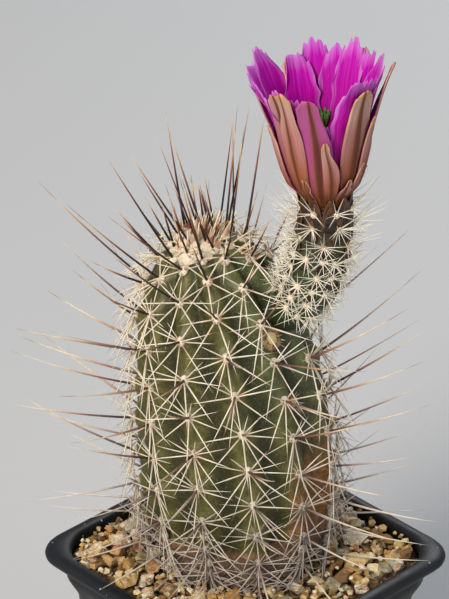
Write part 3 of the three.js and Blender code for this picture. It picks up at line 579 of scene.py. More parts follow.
# %% Running a tree on points
def start_tree(name, **sockets):
    """A new geometry tree with its named inputs. sockets is name=(kind, value), with _ for a space."""
    tree = bpy.data.node_groups.new(name, "GeometryNodeTree")
    tree.interface.new_socket("Geometry", in_out="INPUT", socket_type="NodeSocketGeometry")
    tree.interface.new_socket("Geometry", in_out="OUTPUT", socket_type="NodeSocketGeometry")
    for name, (kind, value) in sockets.items():
        label = name.replace("_", " ")
        socket = tree.interface.new_socket(label, in_out="INPUT", socket_type="NodeSocket" + kind)
        if value is not None:
            socket.default_value = value
    return tree, node(tree, "NodeGroupInput").outputs, node(tree, "NodeGroupOutput")


def plant(name, rows, tree, slot, solid, **values):
    """Makes a piece: a tree's shape on each point of rows, which are dicts with "at" in millimetres and the
    point's own numbers and vectors. values are for the tree's inputs."""
    own = {key: np.array([row[key] for row in rows]) for key in rows[0] if key != "at"}
    piece = mesh_object(name, [row["at"] for row in rows], [], own)
    modifier = piece.modifiers.new(tree.name, "NODES")
    modifier.node_group = tree
    for socket in tree.interface.items_tree:
        if socket.in_out == "INPUT" and socket.name.replace(" ", "_") in values:
            modifier[socket.identifier] = values[socket.name.replace(" ", "_")]
    graph = bpy.context.evaluated_depsgraph_get()
    shown = piece.evaluated_get(graph)
    grown = bpy.data.meshes.new_from_object(shown, preserve_all_data_layers=True, depsgraph=graph)
    piece.modifiers.remove(modifier)
    piece.data = grown
    finish(piece, values["Material"], solid)


def needle(at, way, length_mm, thick_mm, bow_mm, **marks):
    """A needle's root, its way, its size, how far its tip is bowed, and its marks for a material."""
    sizes = {"length": length_mm * MM, "thick": thick_mm * MM, "bow": bow_mm * MM}
    return {"at": at, "way": way, **sizes, **marks}


def cushion(at, out, up, size_mm, **marks):
    """A cushion's middle, its ways out and up, its three half sizes, and its marks for a material."""
    return {"at": at, "out": out, "up": up, "size": np.array(size_mm) * MM, **marks}


# %% [markdown]
# ### The needle tree
#
# A spine is a thin round needle: a swollen foot, a long nearly even shank, and a sharp tip. The tree starts
# from a cylinder of a few sides that is one unit long and wide, and narrows it along its length. It
# remembers how far along each point is, so that the shape can be bowed after it is planted and coloured
# from foot to tip.

# %% Geometry Nodes: needles
needles, given, result = start_tree(
    "needles", Sides=("Int", 5), Segments=("Int", 6), Taper=("Float", 1.6), Foot_Swell=("Float", 0.5),
    Tip_Width=("Float", 0.06), Material=("Material", None),
)
rod = node(
    needles, "GeometryNodeMeshCylinder",
    {"Vertices": given["Sides"], "Side Segments": given["Segments"], "Radius": 1.0, "Depth": 1.0},
)
spot = node(needles, "GeometryNodeInputPosition")
parts = node(needles, "SeparateXYZ", {0: spot}).outputs
even = node(needles, "Math", {0: parts["Z"], 1: 0.5}, operation="ADD", use_clamp=True)
along = node(needles, "Math", {0: even, 1: 1.35}, operation="POWER")
used_up = node(needles, "Math", {0: along, 1: given["Taper"]}, operation="POWER")
shank = node(needles, "Math", {0: 1.0, 1: used_up}, operation="SUBTRACT")
shank = node(needles, "Math", {0: shank, 1: given["Tip Width"]}, operation="MAXIMUM")
fade = node(needles, "MapRange", {0: along, 1: 0.0, 2: 0.09, 3: 1.0, 4: 0.0})
swell = node(needles, "Math", {0: fade, 1: given["Foot Swell"], 2: 1.0}, operation="MULTIPLY_ADD")
width = node(needles, "Math", {0: shank, 1: swell}, operation="MULTIPLY")
across_x = node(needles, "Math", {0: parts["X"], 1: width}, operation="MULTIPLY")
across_y = node(needles, "Math", {0: parts["Y"], 1: width}, operation="MULTIPLY")
shaped = node(needles, "CombineXYZ", {0: across_x, 1: across_y, 2: along})
marked = node(
    needles, "GeometryNodeStoreNamedAttribute", {"Geometry": rod, "Name": "along", "Value": along},
    data_type="FLOAT",
)
pin = node(needles, "GeometryNodeSetPosition", {"Geometry": marked, "Position": shaped})
way, bow = [
    node(needles, "GeometryNodeInputNamedAttribute", {"Name": name}, data_type="FLOAT_VECTOR")
    for name in ("way", "bow")
]
thick, length, reach = [
    node(needles, "GeometryNodeInputNamedAttribute", {"Name": name}) for name in ("thick", "length", "along")
]
turned = node(needles, "FunctionNodeAlignRotationToVector", {"Vector": way}, axis="Z")
sized = node(needles, "CombineXYZ", {0: thick, 1: thick, 2: length})
standing = node(
    needles, "GeometryNodeInstanceOnPoints",
    {"Points": given["Geometry"], "Instance": pin, "Rotation": turned, "Scale": sized},
)
real = node(needles, "GeometryNodeRealizeInstances", {0: standing})
squared = node(needles, "Math", {0: reach, 1: reach}, operation="MULTIPLY")
bent = node(needles, "VectorMath", {0: bow, "Scale": squared}, operation="SCALE")
bowed = node(needles, "GeometryNodeSetPosition", {"Geometry": real, "Offset": bent})
smoothed = node(needles, "GeometryNodeSetShadeSmooth", {"Geometry": bowed})
clad = node(needles, "GeometryNodeSetMaterial", {"Geometry": smoothed, "Material": given["Material"]})
feed(result, {"Geometry": clad})
print("needle tree:", len(needles.nodes), "nodes")

# %% [markdown]
# ## Spines
#
# Each areole carries about ten spines that lie close to the skin like the points of a star, and one long
# one that stands out. They are what the eye sees first on a hedgehog cactus. They follow the solids' rule:
# short at the top of the star, longest below, steeper near the growing point. The lying ones are finer and
# a third longer here, up to six thin ones fill each star, and the youngest stars have opened only some of
# theirs. Old areoles that the solids leave out crowd the foot.

# %% The bloom's tube and funnel, which the spines keep clear of
TUBE_PATH = place(*np.array([[7, 2, 160], [16.5, 6, 166], [22, 5.4, 181], [21.9, 4, 198]]).T)
BLOOM_TIP = place(19.8, 1.6, 240)
# the funnel that the tepals lie in: its radius, and the height above the bloom's base
FUNNEL = np.array([
    [6.6, 0], [9.4, 6], [11.6, 12], [13.2, 18], [14.8, 25], [16.8, 32], [18.8, 38], [20.6, 43],
])


def tube_middle(u):
    """The point and the direction of the tube's middle line."""
    u = np.asarray(u, float)[..., None]
    a, b, c, d = TUBE_PATH
    point = (1 - u) ** 3 * a + 3 * u * (1 - u) ** 2 * b + 3 * u**2 * (1 - u) * c + u**3 * d
    slope = 3 * (1 - u) ** 2 * (b - a) + 6 * u * (1 - u) * (c - b) + 3 * u**2 * (d - c)
    return point, unit(slope)


def tube_radius(u):
    """The tube's radius, from u = 0 at its root to 1 at its mouth."""
    return 5.2 + 1.4 * u + 2.1 * np.sin(math.pi * u)


bloom_base = tube_middle(1.0)[0]
bloom_axis = unit(BLOOM_TIP - bloom_base)
bloom_side = unit(SIDE - bloom_axis * (SIDE @ bloom_axis))
bloom_face = unit(np.cross(bloom_side, bloom_axis))


def funnel_radius(height):
    """The radius of the bloom's funnel, height millimetres above the tube."""
    return np.interp(height, FUNNEL[:, 1], FUNNEL[:, 0])


def near_bloom(points, room):
    """True for each point that is in or near the bloom or its tube."""
    above = (points - bloom_base) @ bloom_axis
    from_axis = np.linalg.norm(points - bloom_base - above[:, None] * bloom_axis, axis=1)
    in_funnel = (above > 0) & (above < 46) & (from_axis < funnel_radius(above) + room)
    along_tube = np.linspace(0, 1, 15)
    away = np.linalg.norm(points[:, None] - tube_middle(along_tube)[0][None], axis=2)
    in_tube = (above <= 0) & (away < tube_radius(along_tube) + room).any(axis=1)
    return in_funnel | in_tube


print("bloom base", bloom_base.round(2), "axis", bloom_axis.round(3))

# %% Where every spine of the stem goes
SPINE_LENGTHS = [35, 9, 13.2, 16.6, 16.8, 16.6, 13.2, 8.8]
THIN_SPINES = [(-22, 7), (20, 6.5), (68, 13), (292, 12), (204, 15), (157, 15)]  # degrees round, and length


def stem_spine(areole, slot, seed, about_degrees=None, length_mm=None):
    """The root, way, length and upward bow of one spine. Slot 0 is the long one."""
    draw = seeded(seed)

    def swing():
        return 2 * draw() - 1

    central, young, low = slot == 0, areole["young"], areole["low"]
    round_by = 45 * slot if about_degrees is None else about_degrees
    about = 0 if central else math.radians(round_by + 7 * swing())
    central_lift = lerp(lerp(76, 83, low), 84, young) + 13 * swing() if central else 0
    lift = math.radians(central_lift if central else lerp(15, 36, young) + 7 * swing())
    turn = math.radians(12 * swing()) if central else 0
    share = (0.17 if central else 0.14) * swing()
    full_grown = float(smoothstep(share, 0.02, 0.06))
    if central:
        full = lerp(1, lerp(0.5, 1, full_grown), areole["crowded"]) * lerp(1, 0.84, low)
    else:
        full = lerp(1, 0.4, young) * lerp(1, 0.94, low)
    length = (length_mm or SPINE_LENGTHS[slot]) * (1 + share) * full
    way = unit(
        areole["up"] * math.cos(about) * math.cos(lift)
        + areole["aside"] * (math.sin(about) * math.cos(lift) + math.sin(turn))
        + areole["out"] * math.sin(lift)
    )
    root = areole["middle"] - 0.2 * areole["out"] if central else areole["middle"] + 0.5 * PAD_RADIUS * way
    rise = length * lerp(0.09, 0.02, young) * (0.6 + 0.8 * draw()) if central else 0.0
    tip_z = root[2] + way[2] * length + rise
    lowest = STONE_TOP + 1.2
    if tip_z < lowest:
        rise += lowest - tip_z + 0.8 * draw()
    return {"at": root, "way": way, "length": length, "rise": rise, "draw": draw}


def spine_row(spine, areole, thick, sag=0.0):
    """A spine of the stem, thick mm in radius. sag bows it down to the skin, as a part of its length."""
    bow = spine["rise"] * UP - areole["out"] * sag * spine["length"]
    return needle(
        spine["at"], spine["way"], spine["length"], thick, bow,
        shade=spine["draw"](), young=areole["young"], low=areole["low"],
    )


radials, centrals = [], []
for areole in areoles:
    for slot in range(len(SPINE_LENGTHS)):
        spine = stem_spine(areole, slot, 10000 + 1000 * areole["rib"] + 32 * areole["step"] + 4 * slot)
        stations_mm = spine["at"] + spine["way"] * spine["length"] * np.linspace(0.15, 1, 8)[:, None]
        if near_bloom(stations_mm, 1.5).any():
            continue
        if slot == 0:
            row = spine_row(spine, areole, lerp(0.31, 0.38, spine["draw"]()))
            row["young"] = 1 - float(smoothstep(OUTLINE_LENGTH - areole["s"], 22, 52))
            centrals.append(row)
        elif spine["draw"]() > 0.6 * areole["young"]:
            thick = lerp(0.2, 0.27, spine["draw"]())
            radials.append(spine_row(spine, areole, thick, 0.06 * spine["draw"]() - 0.02))
    for k, (about, length_mm) in enumerate(THIN_SPINES):
        spine = stem_spine(areole, 1, 30000 + 100 * areole["rib"] + 8 * areole["step"] + k, about, length_mm)
        ends = np.array([spine["at"], spine["at"] + spine["way"] * spine["length"]])
        if not near_bloom(ends, 1.2).any() and spine["draw"]() < lerp(0.6, 0, areole["young"]):
            thick = lerp(0.16, 0.22, spine["draw"]())
            radials.append(spine_row(spine, areole, thick, 0.05 * spine["draw"]()))

# the oldest areoles, small and crowded where the foot has shrunk, with worn grey spines
old_areoles = []
for rib in range(RIBS):
    at_rib = areole_steps[[step for step in range(14) if (step + rib) % 2 == 0]]
    between = [s for s in (at_rib[:-1] + at_rib[1:]) / 2 if s < soil_line_at + 26]
    for k, s in enumerate([soil_line_at + 0.8] + between):
        draw = seeded(40000 + 100 * rib + k)
        if k > 1 and draw() < 0.3:
            continue
        areole = {**areole_at(rib, s), "young": 0.0, "low": 1 - 0.02 * (s - soil_line_at), "crowded": 0.0}
        old_areoles.append(areole)
        for slot in range(1, 8):
            about = 45 * slot + 40 * (draw() - 0.5)
            spine = stem_spine(areole, slot, 41000 + 1000 * rib + 32 * k + slot, about, lerp(11, 18, draw()))
            if draw() < 0.86:
                radials.append(spine_row(spine, areole, lerp(0.15, 0.22, draw()), 0.1 * draw() - 0.03))
print(len(radials), "lying spines and", len(centrals), "standing ones")

# %% [markdown]
# ### Spine horn
#
# A spine is dead, dry, woody horn. The lying ones are ivory with a tan foot, and weather to grey near the
# soil. The standing ones are dark purple brown at the foot, then reddish, and pale towards the tip, and
# nearly black when young. Dry horn has a dull satin sheen, so roughness is about 0.45.

# %% Material: ivory spine horn and dark spine horn
def spine_horn(name, fresh, dark_young, aged):
    """fresh, dark_young and aged are colour ramps from foot to tip."""
    material, tree, shader, in_mm, along, shade, young, low = surface(name, "along", "shade", "young", "low")
    # each spine's colours start a little sooner or later
    shift = node(tree, "MapRange", {0: shade, 3: -0.12, 4: 0.16})
    start = node(tree, "Math", {0: along, 1: shift}, operation="ADD", use_clamp=True)
    mottle = node(tree, "TexNoise", {"Vector": in_mm, "Scale": 1 / 1.8, "Detail": 3})
    first = node(tree, "ValToRGB", {0: start}, fresh)
    dark = node(tree, "ValToRGB", {0: start}, dark_young)
    grey = node(tree, "ValToRGB", {0: along}, aged)
    top = node(tree, "Mix", {0: young, 6: first, 7: dark}, data_type="RGBA")
    spared = node(tree, "MapRange", {0: shade, 3: -0.4, 4: 0.0})
    old = node(tree, "Math", {0: low, 1: 1.5, 2: spared}, operation="MULTIPLY_ADD", use_clamp=True)
    aged_mix = node(tree, "Mix", {0: old, 6: top, 7: grey}, data_type="RGBA")
    light = node(tree, "MapRange", {0: mottle, 1: 0.3, 2: 0.7, 3: 0.86, 4: 1.08})
    hue = node(tree, "HueSaturation", {"Value": light, "Color": aged_mix})
    feed(shader, {"Base Color": hue, "Roughness": 0.45})
    return material


ivory_horn = spine_horn(
    "ivory_spine_horn",
    [
        (0.0, "#b28e74"), (0.1, "#d8c6ac"), (0.4, "#efe5d2"), (0.8, "#f2ead8"), (0.93, "#dcc6a6"),
        (1.0, "#a87c64"),
    ],
    [(0.0, "#8a6248"), (0.15, "#d9c49c"), (0.7, "#efe3c4"), (1.0, "#7a4038")],
    [(0.0, "#84766c"), (0.3, "#c2b8ae"), (1.0, "#aaa097")],
)
dark_horn = spine_horn(
    "dark_spine_horn",
    [
        (0.0, "#2b1a1c"), (0.12, "#4c2e2e"), (0.3, "#8a5c52"), (0.48, "#c09a7c"), (0.66, "#e6d6b4"),
        (0.9, "#e8dab8"), (1.0, "#9a5a48"),
    ],
    [
        (0.0, "#100b0c"), (0.34, "#1d1112"), (0.48, "#4c2924"), (0.64, "#8c5234"), (0.8, "#c69a5c"),
        (0.93, "#dfc795"), (1.0, "#8a5a44"),
    ],
    [(0.0, "#4e4540"), (0.14, "#8c8078"), (0.34, "#cabeb0"), (0.8, "#e6dccc"), (1.0, "#c0b2a4")],
)
plant(
    "lying_spines", radials, needles, "stem_flesh", "stem",
    Sides=5, Segments=5, Taper=2.3, Foot_Swell=0.3, Material=ivory_horn,
)
plant(
    "standing_spines", centrals, needles, "stem_flesh", "stem",
    Sides=6, Segments=9, Taper=1.9, Foot_Swell=0.25, Material=dark_horn,
)

# %% [markdown]
# ## Wool
#
# An areole is a small cushion of felt. Seen close, it is a domed pad of short matted hair with a few longer
# hairs on it. A real felt would need thousands of hairs, so here a lumpy pad carries the bulk of it, and a
# few short hairs break its edge. The tree turns each pad so that it lies flat on the skin, long side up
# the rib.

# %% Geometry Nodes: felt cushions
cushions, given, result = start_tree(
    "felt_cushions", Pad_Lumps=("Float", 0.18), Hairs=("Int", 16), Hair_Length=("Float", 1.0),
    Hair_Width=("Float", 0.05), Spread=("Float", 1.0), Seed=("Int", 7), Material=("Material", None),
)
ball = node(cushions, "GeometryNodeMeshIcoSphere", {"Radius": 1.0, "Subdivisions": 2})
lumps = node(cushions, "TexNoise", {"Scale": 1.9, "Detail": 1})
lump = node(cushions, "Math", {0: lumps, 1: given["Pad Lumps"]}, operation="MULTIPLY")
outward = node(cushions, "GeometryNodeInputNormal")
push = node(cushions, "VectorMath", {0: outward, "Scale": lump}, operation="SCALE")
pad = node(cushions, "GeometryNodeSetPosition", {"Geometry": ball, "Offset": push})
out_way, up_way, pad_size = [
    node(cushions, "GeometryNodeInputNamedAttribute", {"Name": name}, data_type="FLOAT_VECTOR")
    for name in ("out", "up", "size")
]
flat_turn = node(
    cushions, "FunctionNodeAxesToRotation", {0: out_way, 1: up_way}, primary_axis="Z", secondary_axis="Y",
)
pads = node(
    cushions, "GeometryNodeInstanceOnPoints",
    {"Points": given["Geometry"], "Instance": pad, "Rotation": flat_turn, "Scale": pad_size},
)
copies = node(
    cushions, "GeometryNodeDuplicateElements", {0: given["Geometry"], "Amount": given["Hairs"]},
    domain="POINT",
)
chance = node(
    cushions, "FunctionNodeRandomValue", {0: (-1.0, -1.0, 0.25), 1: (1.0, 1.0, 1.0), "Seed": given["Seed"]},
    data_type="FLOAT_VECTOR",
)
leaning = node(cushions, "SeparateXYZ", {0: chance}).outputs
side_way = node(cushions, "VectorMath", {0: up_way, 1: out_way}, operation="CROSS_PRODUCT")
aside_part = node(cushions, "VectorMath", {0: side_way, "Scale": leaning[0]}, operation="SCALE")
up_part = node(cushions, "VectorMath", {0: up_way, "Scale": leaning[1]}, operation="SCALE")
sideways = node(cushions, "VectorMath", {0: aside_part, 1: up_part}, operation="ADD")
spread_part = node(cushions, "VectorMath", {0: sideways, "Scale": given["Spread"]}, operation="SCALE")
hair_way = node(cushions, "VectorMath", {0: spread_part, 1: out_way}, operation="ADD")
hair_turn = node(cushions, "FunctionNodeAlignRotationToVector", {"Vector": hair_way}, axis="Z")
size_parts = node(cushions, "SeparateXYZ", {0: pad_size}).outputs
off_middle = node(cushions, "Math", {0: size_parts[0], 1: 0.75}, operation="MULTIPLY")
offset = node(cushions, "VectorMath", {0: sideways, "Scale": off_middle}, operation="SCALE")
rooted = node(cushions, "GeometryNodeSetPosition", {"Geometry": copies, "Offset": offset})
hair = node(
    cushions, "GeometryNodeMeshCone",
    {
        "Vertices": 3, "Side Segments": 1, "Depth": 1.0, "Radius Top": 0.0,
        "Radius Bottom": given["Hair Width"],
    },
    fill_type="NONE",
)
long_hair = node(cushions, "Math", {0: leaning[2], 1: given["Hair Length"]}, operation="MULTIPLY")
hair_size = node(cushions, "VectorMath", {0: (MM, MM, MM), "Scale": long_hair}, operation="SCALE")
hairs = node(
    cushions, "GeometryNodeInstanceOnPoints",
    {"Points": rooted, "Instance": hair, "Rotation": hair_turn, "Scale": hair_size},
)
joined = node(cushions, "GeometryNodeJoinGeometry", {0: pads})
feed(joined, {0: hairs})
real = node(cushions, "GeometryNodeRealizeInstances", {0: joined})
smoothed = node(cushions, "GeometryNodeSetShadeSmooth", {"Geometry": real})
clad = node(cushions, "GeometryNodeSetMaterial", {"Geometry": smoothed, "Material": given["Material"]})
feed(result, {"Geometry": clad})
print("cushion tree:", len(cushions.nodes), "nodes")

# %% [markdown]
# ### Felt
#
# Areole wool is off-white when young and turns cream, then a dusty brown grey near the soil. It is quite
# matt, and a little sheen at grazing angles is what makes it look soft.

# %% Material: areole felt
felt, tree, shader, in_mm, low = surface("areole_felt", "low")
fibres = node(tree, "TexNoise", {"Vector": in_mm, "Scale": 1 / 0.35, "Detail": 4, "Roughness": 0.7})
cream = node(tree, "ValToRGB", {0: fibres}, [(0.3, "#c4b090"), (0.7, "#fbf4e2")])
dusty = node(tree, "ValToRGB", {0: fibres}, [(0.3, "#6f6258"), (0.7, "#b3a89c")])
felt_colour = node(tree, "Mix", {0: low, 6: cream, 7: dusty}, data_type="RGBA")
matted = node(tree, "Bump", {"Height": fibres, "Strength": 0.6, "Distance": 0.2 * MM})
feed(shader, {"Base Color": felt_colour, "Roughness": 0.95, "Sheen Weight": 0.3, "Normal": matted})

pads_on_stem = []
for areole in areoles + old_areoles:
    if near_bloom(areole["middle"][None], 0.6).any():
        continue
    wide = lerp(1.3, 1.45, areole["young"])
    sunk = areole["middle"] - 0.3 * areole["out"]
    size = [wide, 1.12 * wide, 0.9]
    pads_on_stem.append(cushion(sunk, areole["out"], areole["up"], size, low=areole["low"] ** 2))

# one flat cushion over the growing point, and small mounds of wool round it: to the side, to the face, width
crown = UP + 0.2 * SIDE
crown_up = unit(np.cross(crown, FACE))
pads_on_stem.append(cushion(lean(0.0, 0.0, STEM_TOP - 0.6), unit(crown), crown_up, [6.4, 6.4, 2.6], low=0.0))
CROWN_MOUNDS = [(-3.2, 5.6, 3.2), (1.2, 6.6, 2.6), (-7, 3.2, 2.4), (5, 5, 2.2), (10.5, 4.5, 2.0)]
for side, face, wide in CROWN_MOUNDS:
    mound_at = lean(side, face, STEM_TOP - 0.9 - 0.04 * (side**2 + face**2))
    out = unit(crown + 0.08 * (side * SIDE + face * FACE))
    pads_on_stem.append(cushion(mound_at, out, crown_up, [wide, wide, 0.9 * wide], low=0.0))
plant("areole_wool", pads_on_stem, cushions, "stem_flesh", "stem", Hairs=18, Hair_Length=1.3, Material=felt)

# %% [markdown]
# ### Two scars of older flowers
#
# Where a flower of last year fell, beside an areole of the rib that faces the viewer, a shallow cup stays,
# rimmed with brown wool and with a paler floor. Each is a ring of felt cushions round a flat one.

# %% Material: dry brown wool, and the scars
dry_wool, tree, shader, in_mm, paler = surface("dry_brown_wool", "low")
tuftiness = node(tree, "TexNoise", {"Vector": in_mm, "Scale": 1 / 0.5, "Detail": 4, "Roughness": 0.7})
browns = node(tree, "ValToRGB", {0: tuftiness}, [(0.3, "#33200f"), (0.5, "#6b4a2a"), (0.72, "#a37f50")])
straw = node(tree, "ValToRGB", {0: tuftiness}, [(0.3, "#c0a468"), (0.7, "#f2e4b0")])
wool_colour = node(tree, "Mix", {0: paler, 6: browns, 7: straw}, data_type="RGBA")
tufted = node(tree, "Bump", {"Height": tuftiness, "Strength": 0.8, "Distance": 0.3 * MM})
feed(shader, {"Base Color": wool_colour, "Roughness": 0.95, "Normal": tufted})

RIM_PADS = 15
RIM_HAIRS = 26
SCARRED_RIB = 1
SCARS = [(14, 0, 0.17, 2.6), (11, 3.4, 0.3, 1.8)]  # areole step, how far below it, phase from the rib, radius
scar_pads, scar_hairs = [], []
for step, lower, phase, wide in SCARS:
    s = areole_steps[step] - lower
    up, _, out = skin_ways(SCARRED_RIB, phase, s)
    out = unit(out + 0.6 * FACE + 0.35 * up)
    aside = unit(np.cross(up, out))
    up = np.cross(out, aside)
    middle = skin(SCARRED_RIB, phase, s) + 0.5 * out
    scar_pads.append(cushion(middle, out, up, [0.75 * wide, 0.8 * wide, 0.8], low=1.0))
    draw = seeded(77 + step)
    for k in range(RIM_PADS):
        turn = TURN * (k + 0.4 * draw()) / RIM_PADS
        rim_way = aside * math.sin(turn) + up * math.cos(turn)
        size = lerp(0.5, 0.85, draw()) * wide / 2.3
        at = middle + wide * rim_way + 0.1 * out
        scar_pads.append(cushion(at, unit(out + 0.5 * rim_way), up, [size] * 3, low=0.45 * draw()))
    for _ in range(RIM_HAIRS):
        turn = TURN * draw()
        rim_way = aside * math.sin(turn) + up * math.cos(turn)
        hair_way = unit(rim_way + 0.9 * draw() * out)
        scar_hairs.append(needle(
            middle + wide * rim_way, hair_way, lerp(1.2, 3.0, draw()), 0.1, -0.4 * up,
            shade=draw(), young=0.0, low=0.0,
        ))
plant(
    "flower_scars", scar_pads, cushions, "stem_flesh", "stem",
    Hairs=14, Hair_Length=1.1, Seed=23, Material=dry_wool,
)
plant("scar_fringe", scar_hairs, needles, "stem_flesh", "stem", Sides=4, Segments=4, Material=ivory_horn)

# %% [markdown]
# ### The tuft at the growing point
#
# New spines push up at the crown before their areoles open. They stand close together like a brush, short
# and stout, cream with a red brown band, among thinner ones. A smaller tuft stands beside them, by the
# bloom.

# %% The crown's young spines
young_horn = spine_horn(
    "young_spine_horn",
    [
        (0.0, "#f6ecd0"), (0.2, "#ecd4ae"), (0.32, "#b0483c"), (0.52, "#84201f"), (0.66, "#dca880"),
        (0.8, "#fbf2d8"), (1.0, "#fbf2d8"),
    ],
    [(0.0, "#f4e8c6"), (0.6, "#f6eacb"), (0.85, "#ecd2a6"), (1.0, "#faf0d0")],
    [(0.0, "#c2b8ae"), (1.0, "#c2b8ae")],
)


def tuft_spine(turn, off, length_mm, thick_mm, young, spread, seat=(0.0, 0.0)):
    """A spine rooted off millimetres from the seat of its tuft, on the side that turn gives. seat is measured
    from the growing point, to the flower's side and to the face."""
    side, face = seat[0] + off * math.sin(turn), seat[1] + off * math.cos(turn)
    away = math.hypot(side, face)
    foot_at = lean(side, face, STEM_TOP - 0.4 - 0.035 * away**2)
    from_apex = foot_at - lean(0.0, 0.0, foot_at[2])
    way = unit(UP + 0.15 * SIDE + spread * from_apex)
    return needle(foot_at, way, length_mm, thick_mm, 0.3 * UP, shade=draw(), young=young, low=0.0)


THIN_IN_TUFT, STOUT_IN_TUFT, IN_SMALL_TUFT = 20, 40, 12
SMALL_TUFT_SEAT = (11.5, 4)
tuft = []
draw = seeded(808)
for _ in range(THIN_IN_TUFT):
    turn, off = TURN * draw(), 7.8 * math.sqrt(draw())
    length = lerp(4.5, 9, draw()) * (1 - 0.03 * off)
    tuft.append(tuft_spine(turn, off, length, lerp(0.2, 0.4, draw()), round(draw()), 0.07))
for i in range(STOUT_IN_TUFT):
    turn, off = TURN * (i + draw()) / STOUT_IN_TUFT, 0.8 + 6 * draw()
    tuft.append(tuft_spine(turn, off, lerp(6, 10.5, draw()), lerp(0.6, 1.0, draw()), 0.6 * draw(), 0.055))
for i in range(IN_SMALL_TUFT):
    turn, off = TURN * i / IN_SMALL_TUFT, 0.6 + 1.4 * draw()
    length, thick = lerp(4, 6.5, draw()), lerp(0.4, 0.6, draw())
    tuft.append(tuft_spine(turn, off, length, thick, 0.4, 0.09, SMALL_TUFT_SEAT))
plant(
    "crown_spines", tuft, needles, "stem_flesh", "stem",
    Sides=5, Segments=6, Taper=1.1, Foot_Swell=0.2, Material=young_horn,
)

# %% [markdown]
# ## Flower tube
#
# Below its petals the bloom is a short arm that grows out of a rib and turns up. It has stars of fine cream
# spines of its own, each on a low bump with a small pointed scale under it. Between the stars that the
# solids have stand lesser ones with fewer spines. The scales are longer towards the top, where they turn
# into tepals. The arm follows one curve, and its bumps sit in a lattice that climbs around it.

# %% The tube's skin
TUBE_LEVELS = 10
FIRST_SPINY_LEVEL = 3


def tube_frame(u):
    """The tube's middle, direction, and the ways to its side and its face."""
    middle, ahead = tube_middle(u)
    side = unit(SIDE - ahead * (ahead @ SIDE)[..., None])
    return middle, ahead, side, np.cross(side, ahead)


def tube_point(u, turn, more=0.0):
    """A point of the tube's skin, or more millimetres outside it."""
    middle, _, side, face = tube_frame(u)
    r = (tube_radius(np.asarray(u, float)) + more)[..., None]
    return middle + r * (side * np.sin(turn)[..., None] + face * np.cos(turn)[..., None])


tube_areoles = []
for level in range(FIRST_SPINY_LEVEL, TUBE_LEVELS):
    for k in range(12):
        draw = seeded(51000 + 100 * level + k)
        if (level + k) % 2 == 0:
            tube_areoles.append((level, 2 * k, level / TUBE_LEVELS, math.pi * k / 6))
        elif draw() < 0.62 and level < TUBE_LEVELS - 1:
            u = (level + 0.3 * (draw() - 0.5)) / TUBE_LEVELS
            tube_areoles.append((level, 2 * k, u, math.pi * (k + 0.2 * (draw() - 0.5)) / 6))
tube_rows, tube_columns = 90, 96
tube_turns = TURN * np.arange(tube_columns) / tube_columns
u_grid, turn_grid = np.meshgrid(np.linspace(0, 1, tube_rows), tube_turns, indexing="ij")
bump = np.zeros(u_grid.shape)
for level, _, u, turn in tube_areoles:
    round_by = np.angle(np.exp(1j * (turn_grid - turn)))
    bump = np.maximum(bump, np.exp(-(((u_grid - u) / 0.036) ** 2) - (round_by / 0.24) ** 2))
tube_points = tube_point(u_grid, turn_grid, 0.55 * bump - 0.15)
tube_ends = [tube_middle(0.0)[0], tube_middle(1.0)[0]]
tube = mesh_object(
    "flower_tube_skin",
    np.concatenate([tube_points.reshape(-1, 3), tube_ends]),
    closed_tube_faces(tube_rows, tube_columns),
    {"along": with_ends(u_grid, 0, 1), "bump": with_ends(bump, 0, 0)},
)
print(len(tube_areoles), "areoles on the tube")

# %% Material: tube rind, from green to brown
rind, tree, shader, in_mm, along, on_bump = surface("flower_tube_rind", "along", "bump")
blotches = node(tree, "TexNoise", {"Vector": in_mm, "Scale": 1 / 2.5, "Detail": 4})
uneven = node(tree, "Math", {0: blotches, 1: 0.25, 2: along}, operation="MULTIPLY_ADD")
from_green = node(
    tree, "ValToRGB", {0: uneven}, [(0.2, "#2c3a18"), (0.8, "#2f3a1a"), (0.95, "#37301a"), (1.0, "#3b2718")],
)
# painted highlight: the tops of the bumps are painted a lighter olive
bump_highlight = node(tree, "Math", {0: on_bump, 1: 0.35}, operation="MULTIPLY")
rind_colour = node(tree, "Mix", {0: bump_highlight, 6: from_green, 7: "#6c713a"}, data_type="RGBA")
pores = node(tree, "Bump", {"Height": blotches, "Strength": 0.3, "Distance": 0.4 * MM})
feed(shader, {"Base Color": rind_colour, "Roughness": 0.5, "Normal": pores})
finish(tube, rind, "flower_tube")

# %% The tube's stars of spines, and their wool
def inside_stem(points, room):
    """True for each point that is inside the stem or closer to it than room."""
    height = np.clip(points[:, 2], 60, STEM_TOP - 0.5)
    along_stem = np.linspace(20, OUTLINE_LENGTH, 400)
    s = np.interp(height, outline_at(along_stem)[1], along_stem)
    away = np.linalg.norm((points - lean(0.0, 0.0, height))[:, :2], axis=1)
    return (away < outline_at(s)[0] + room) & (points[:, 2] < STEM_TOP)


def star_way(ahead, out, about, lift):
    """The way of a star's spine: about radians round from ahead, and lifted from the skin."""
    level_way = ahead * math.cos(about) + np.cross(ahead, out) * math.sin(about)
    return level_way * math.cos(lift) + out * math.sin(lift)


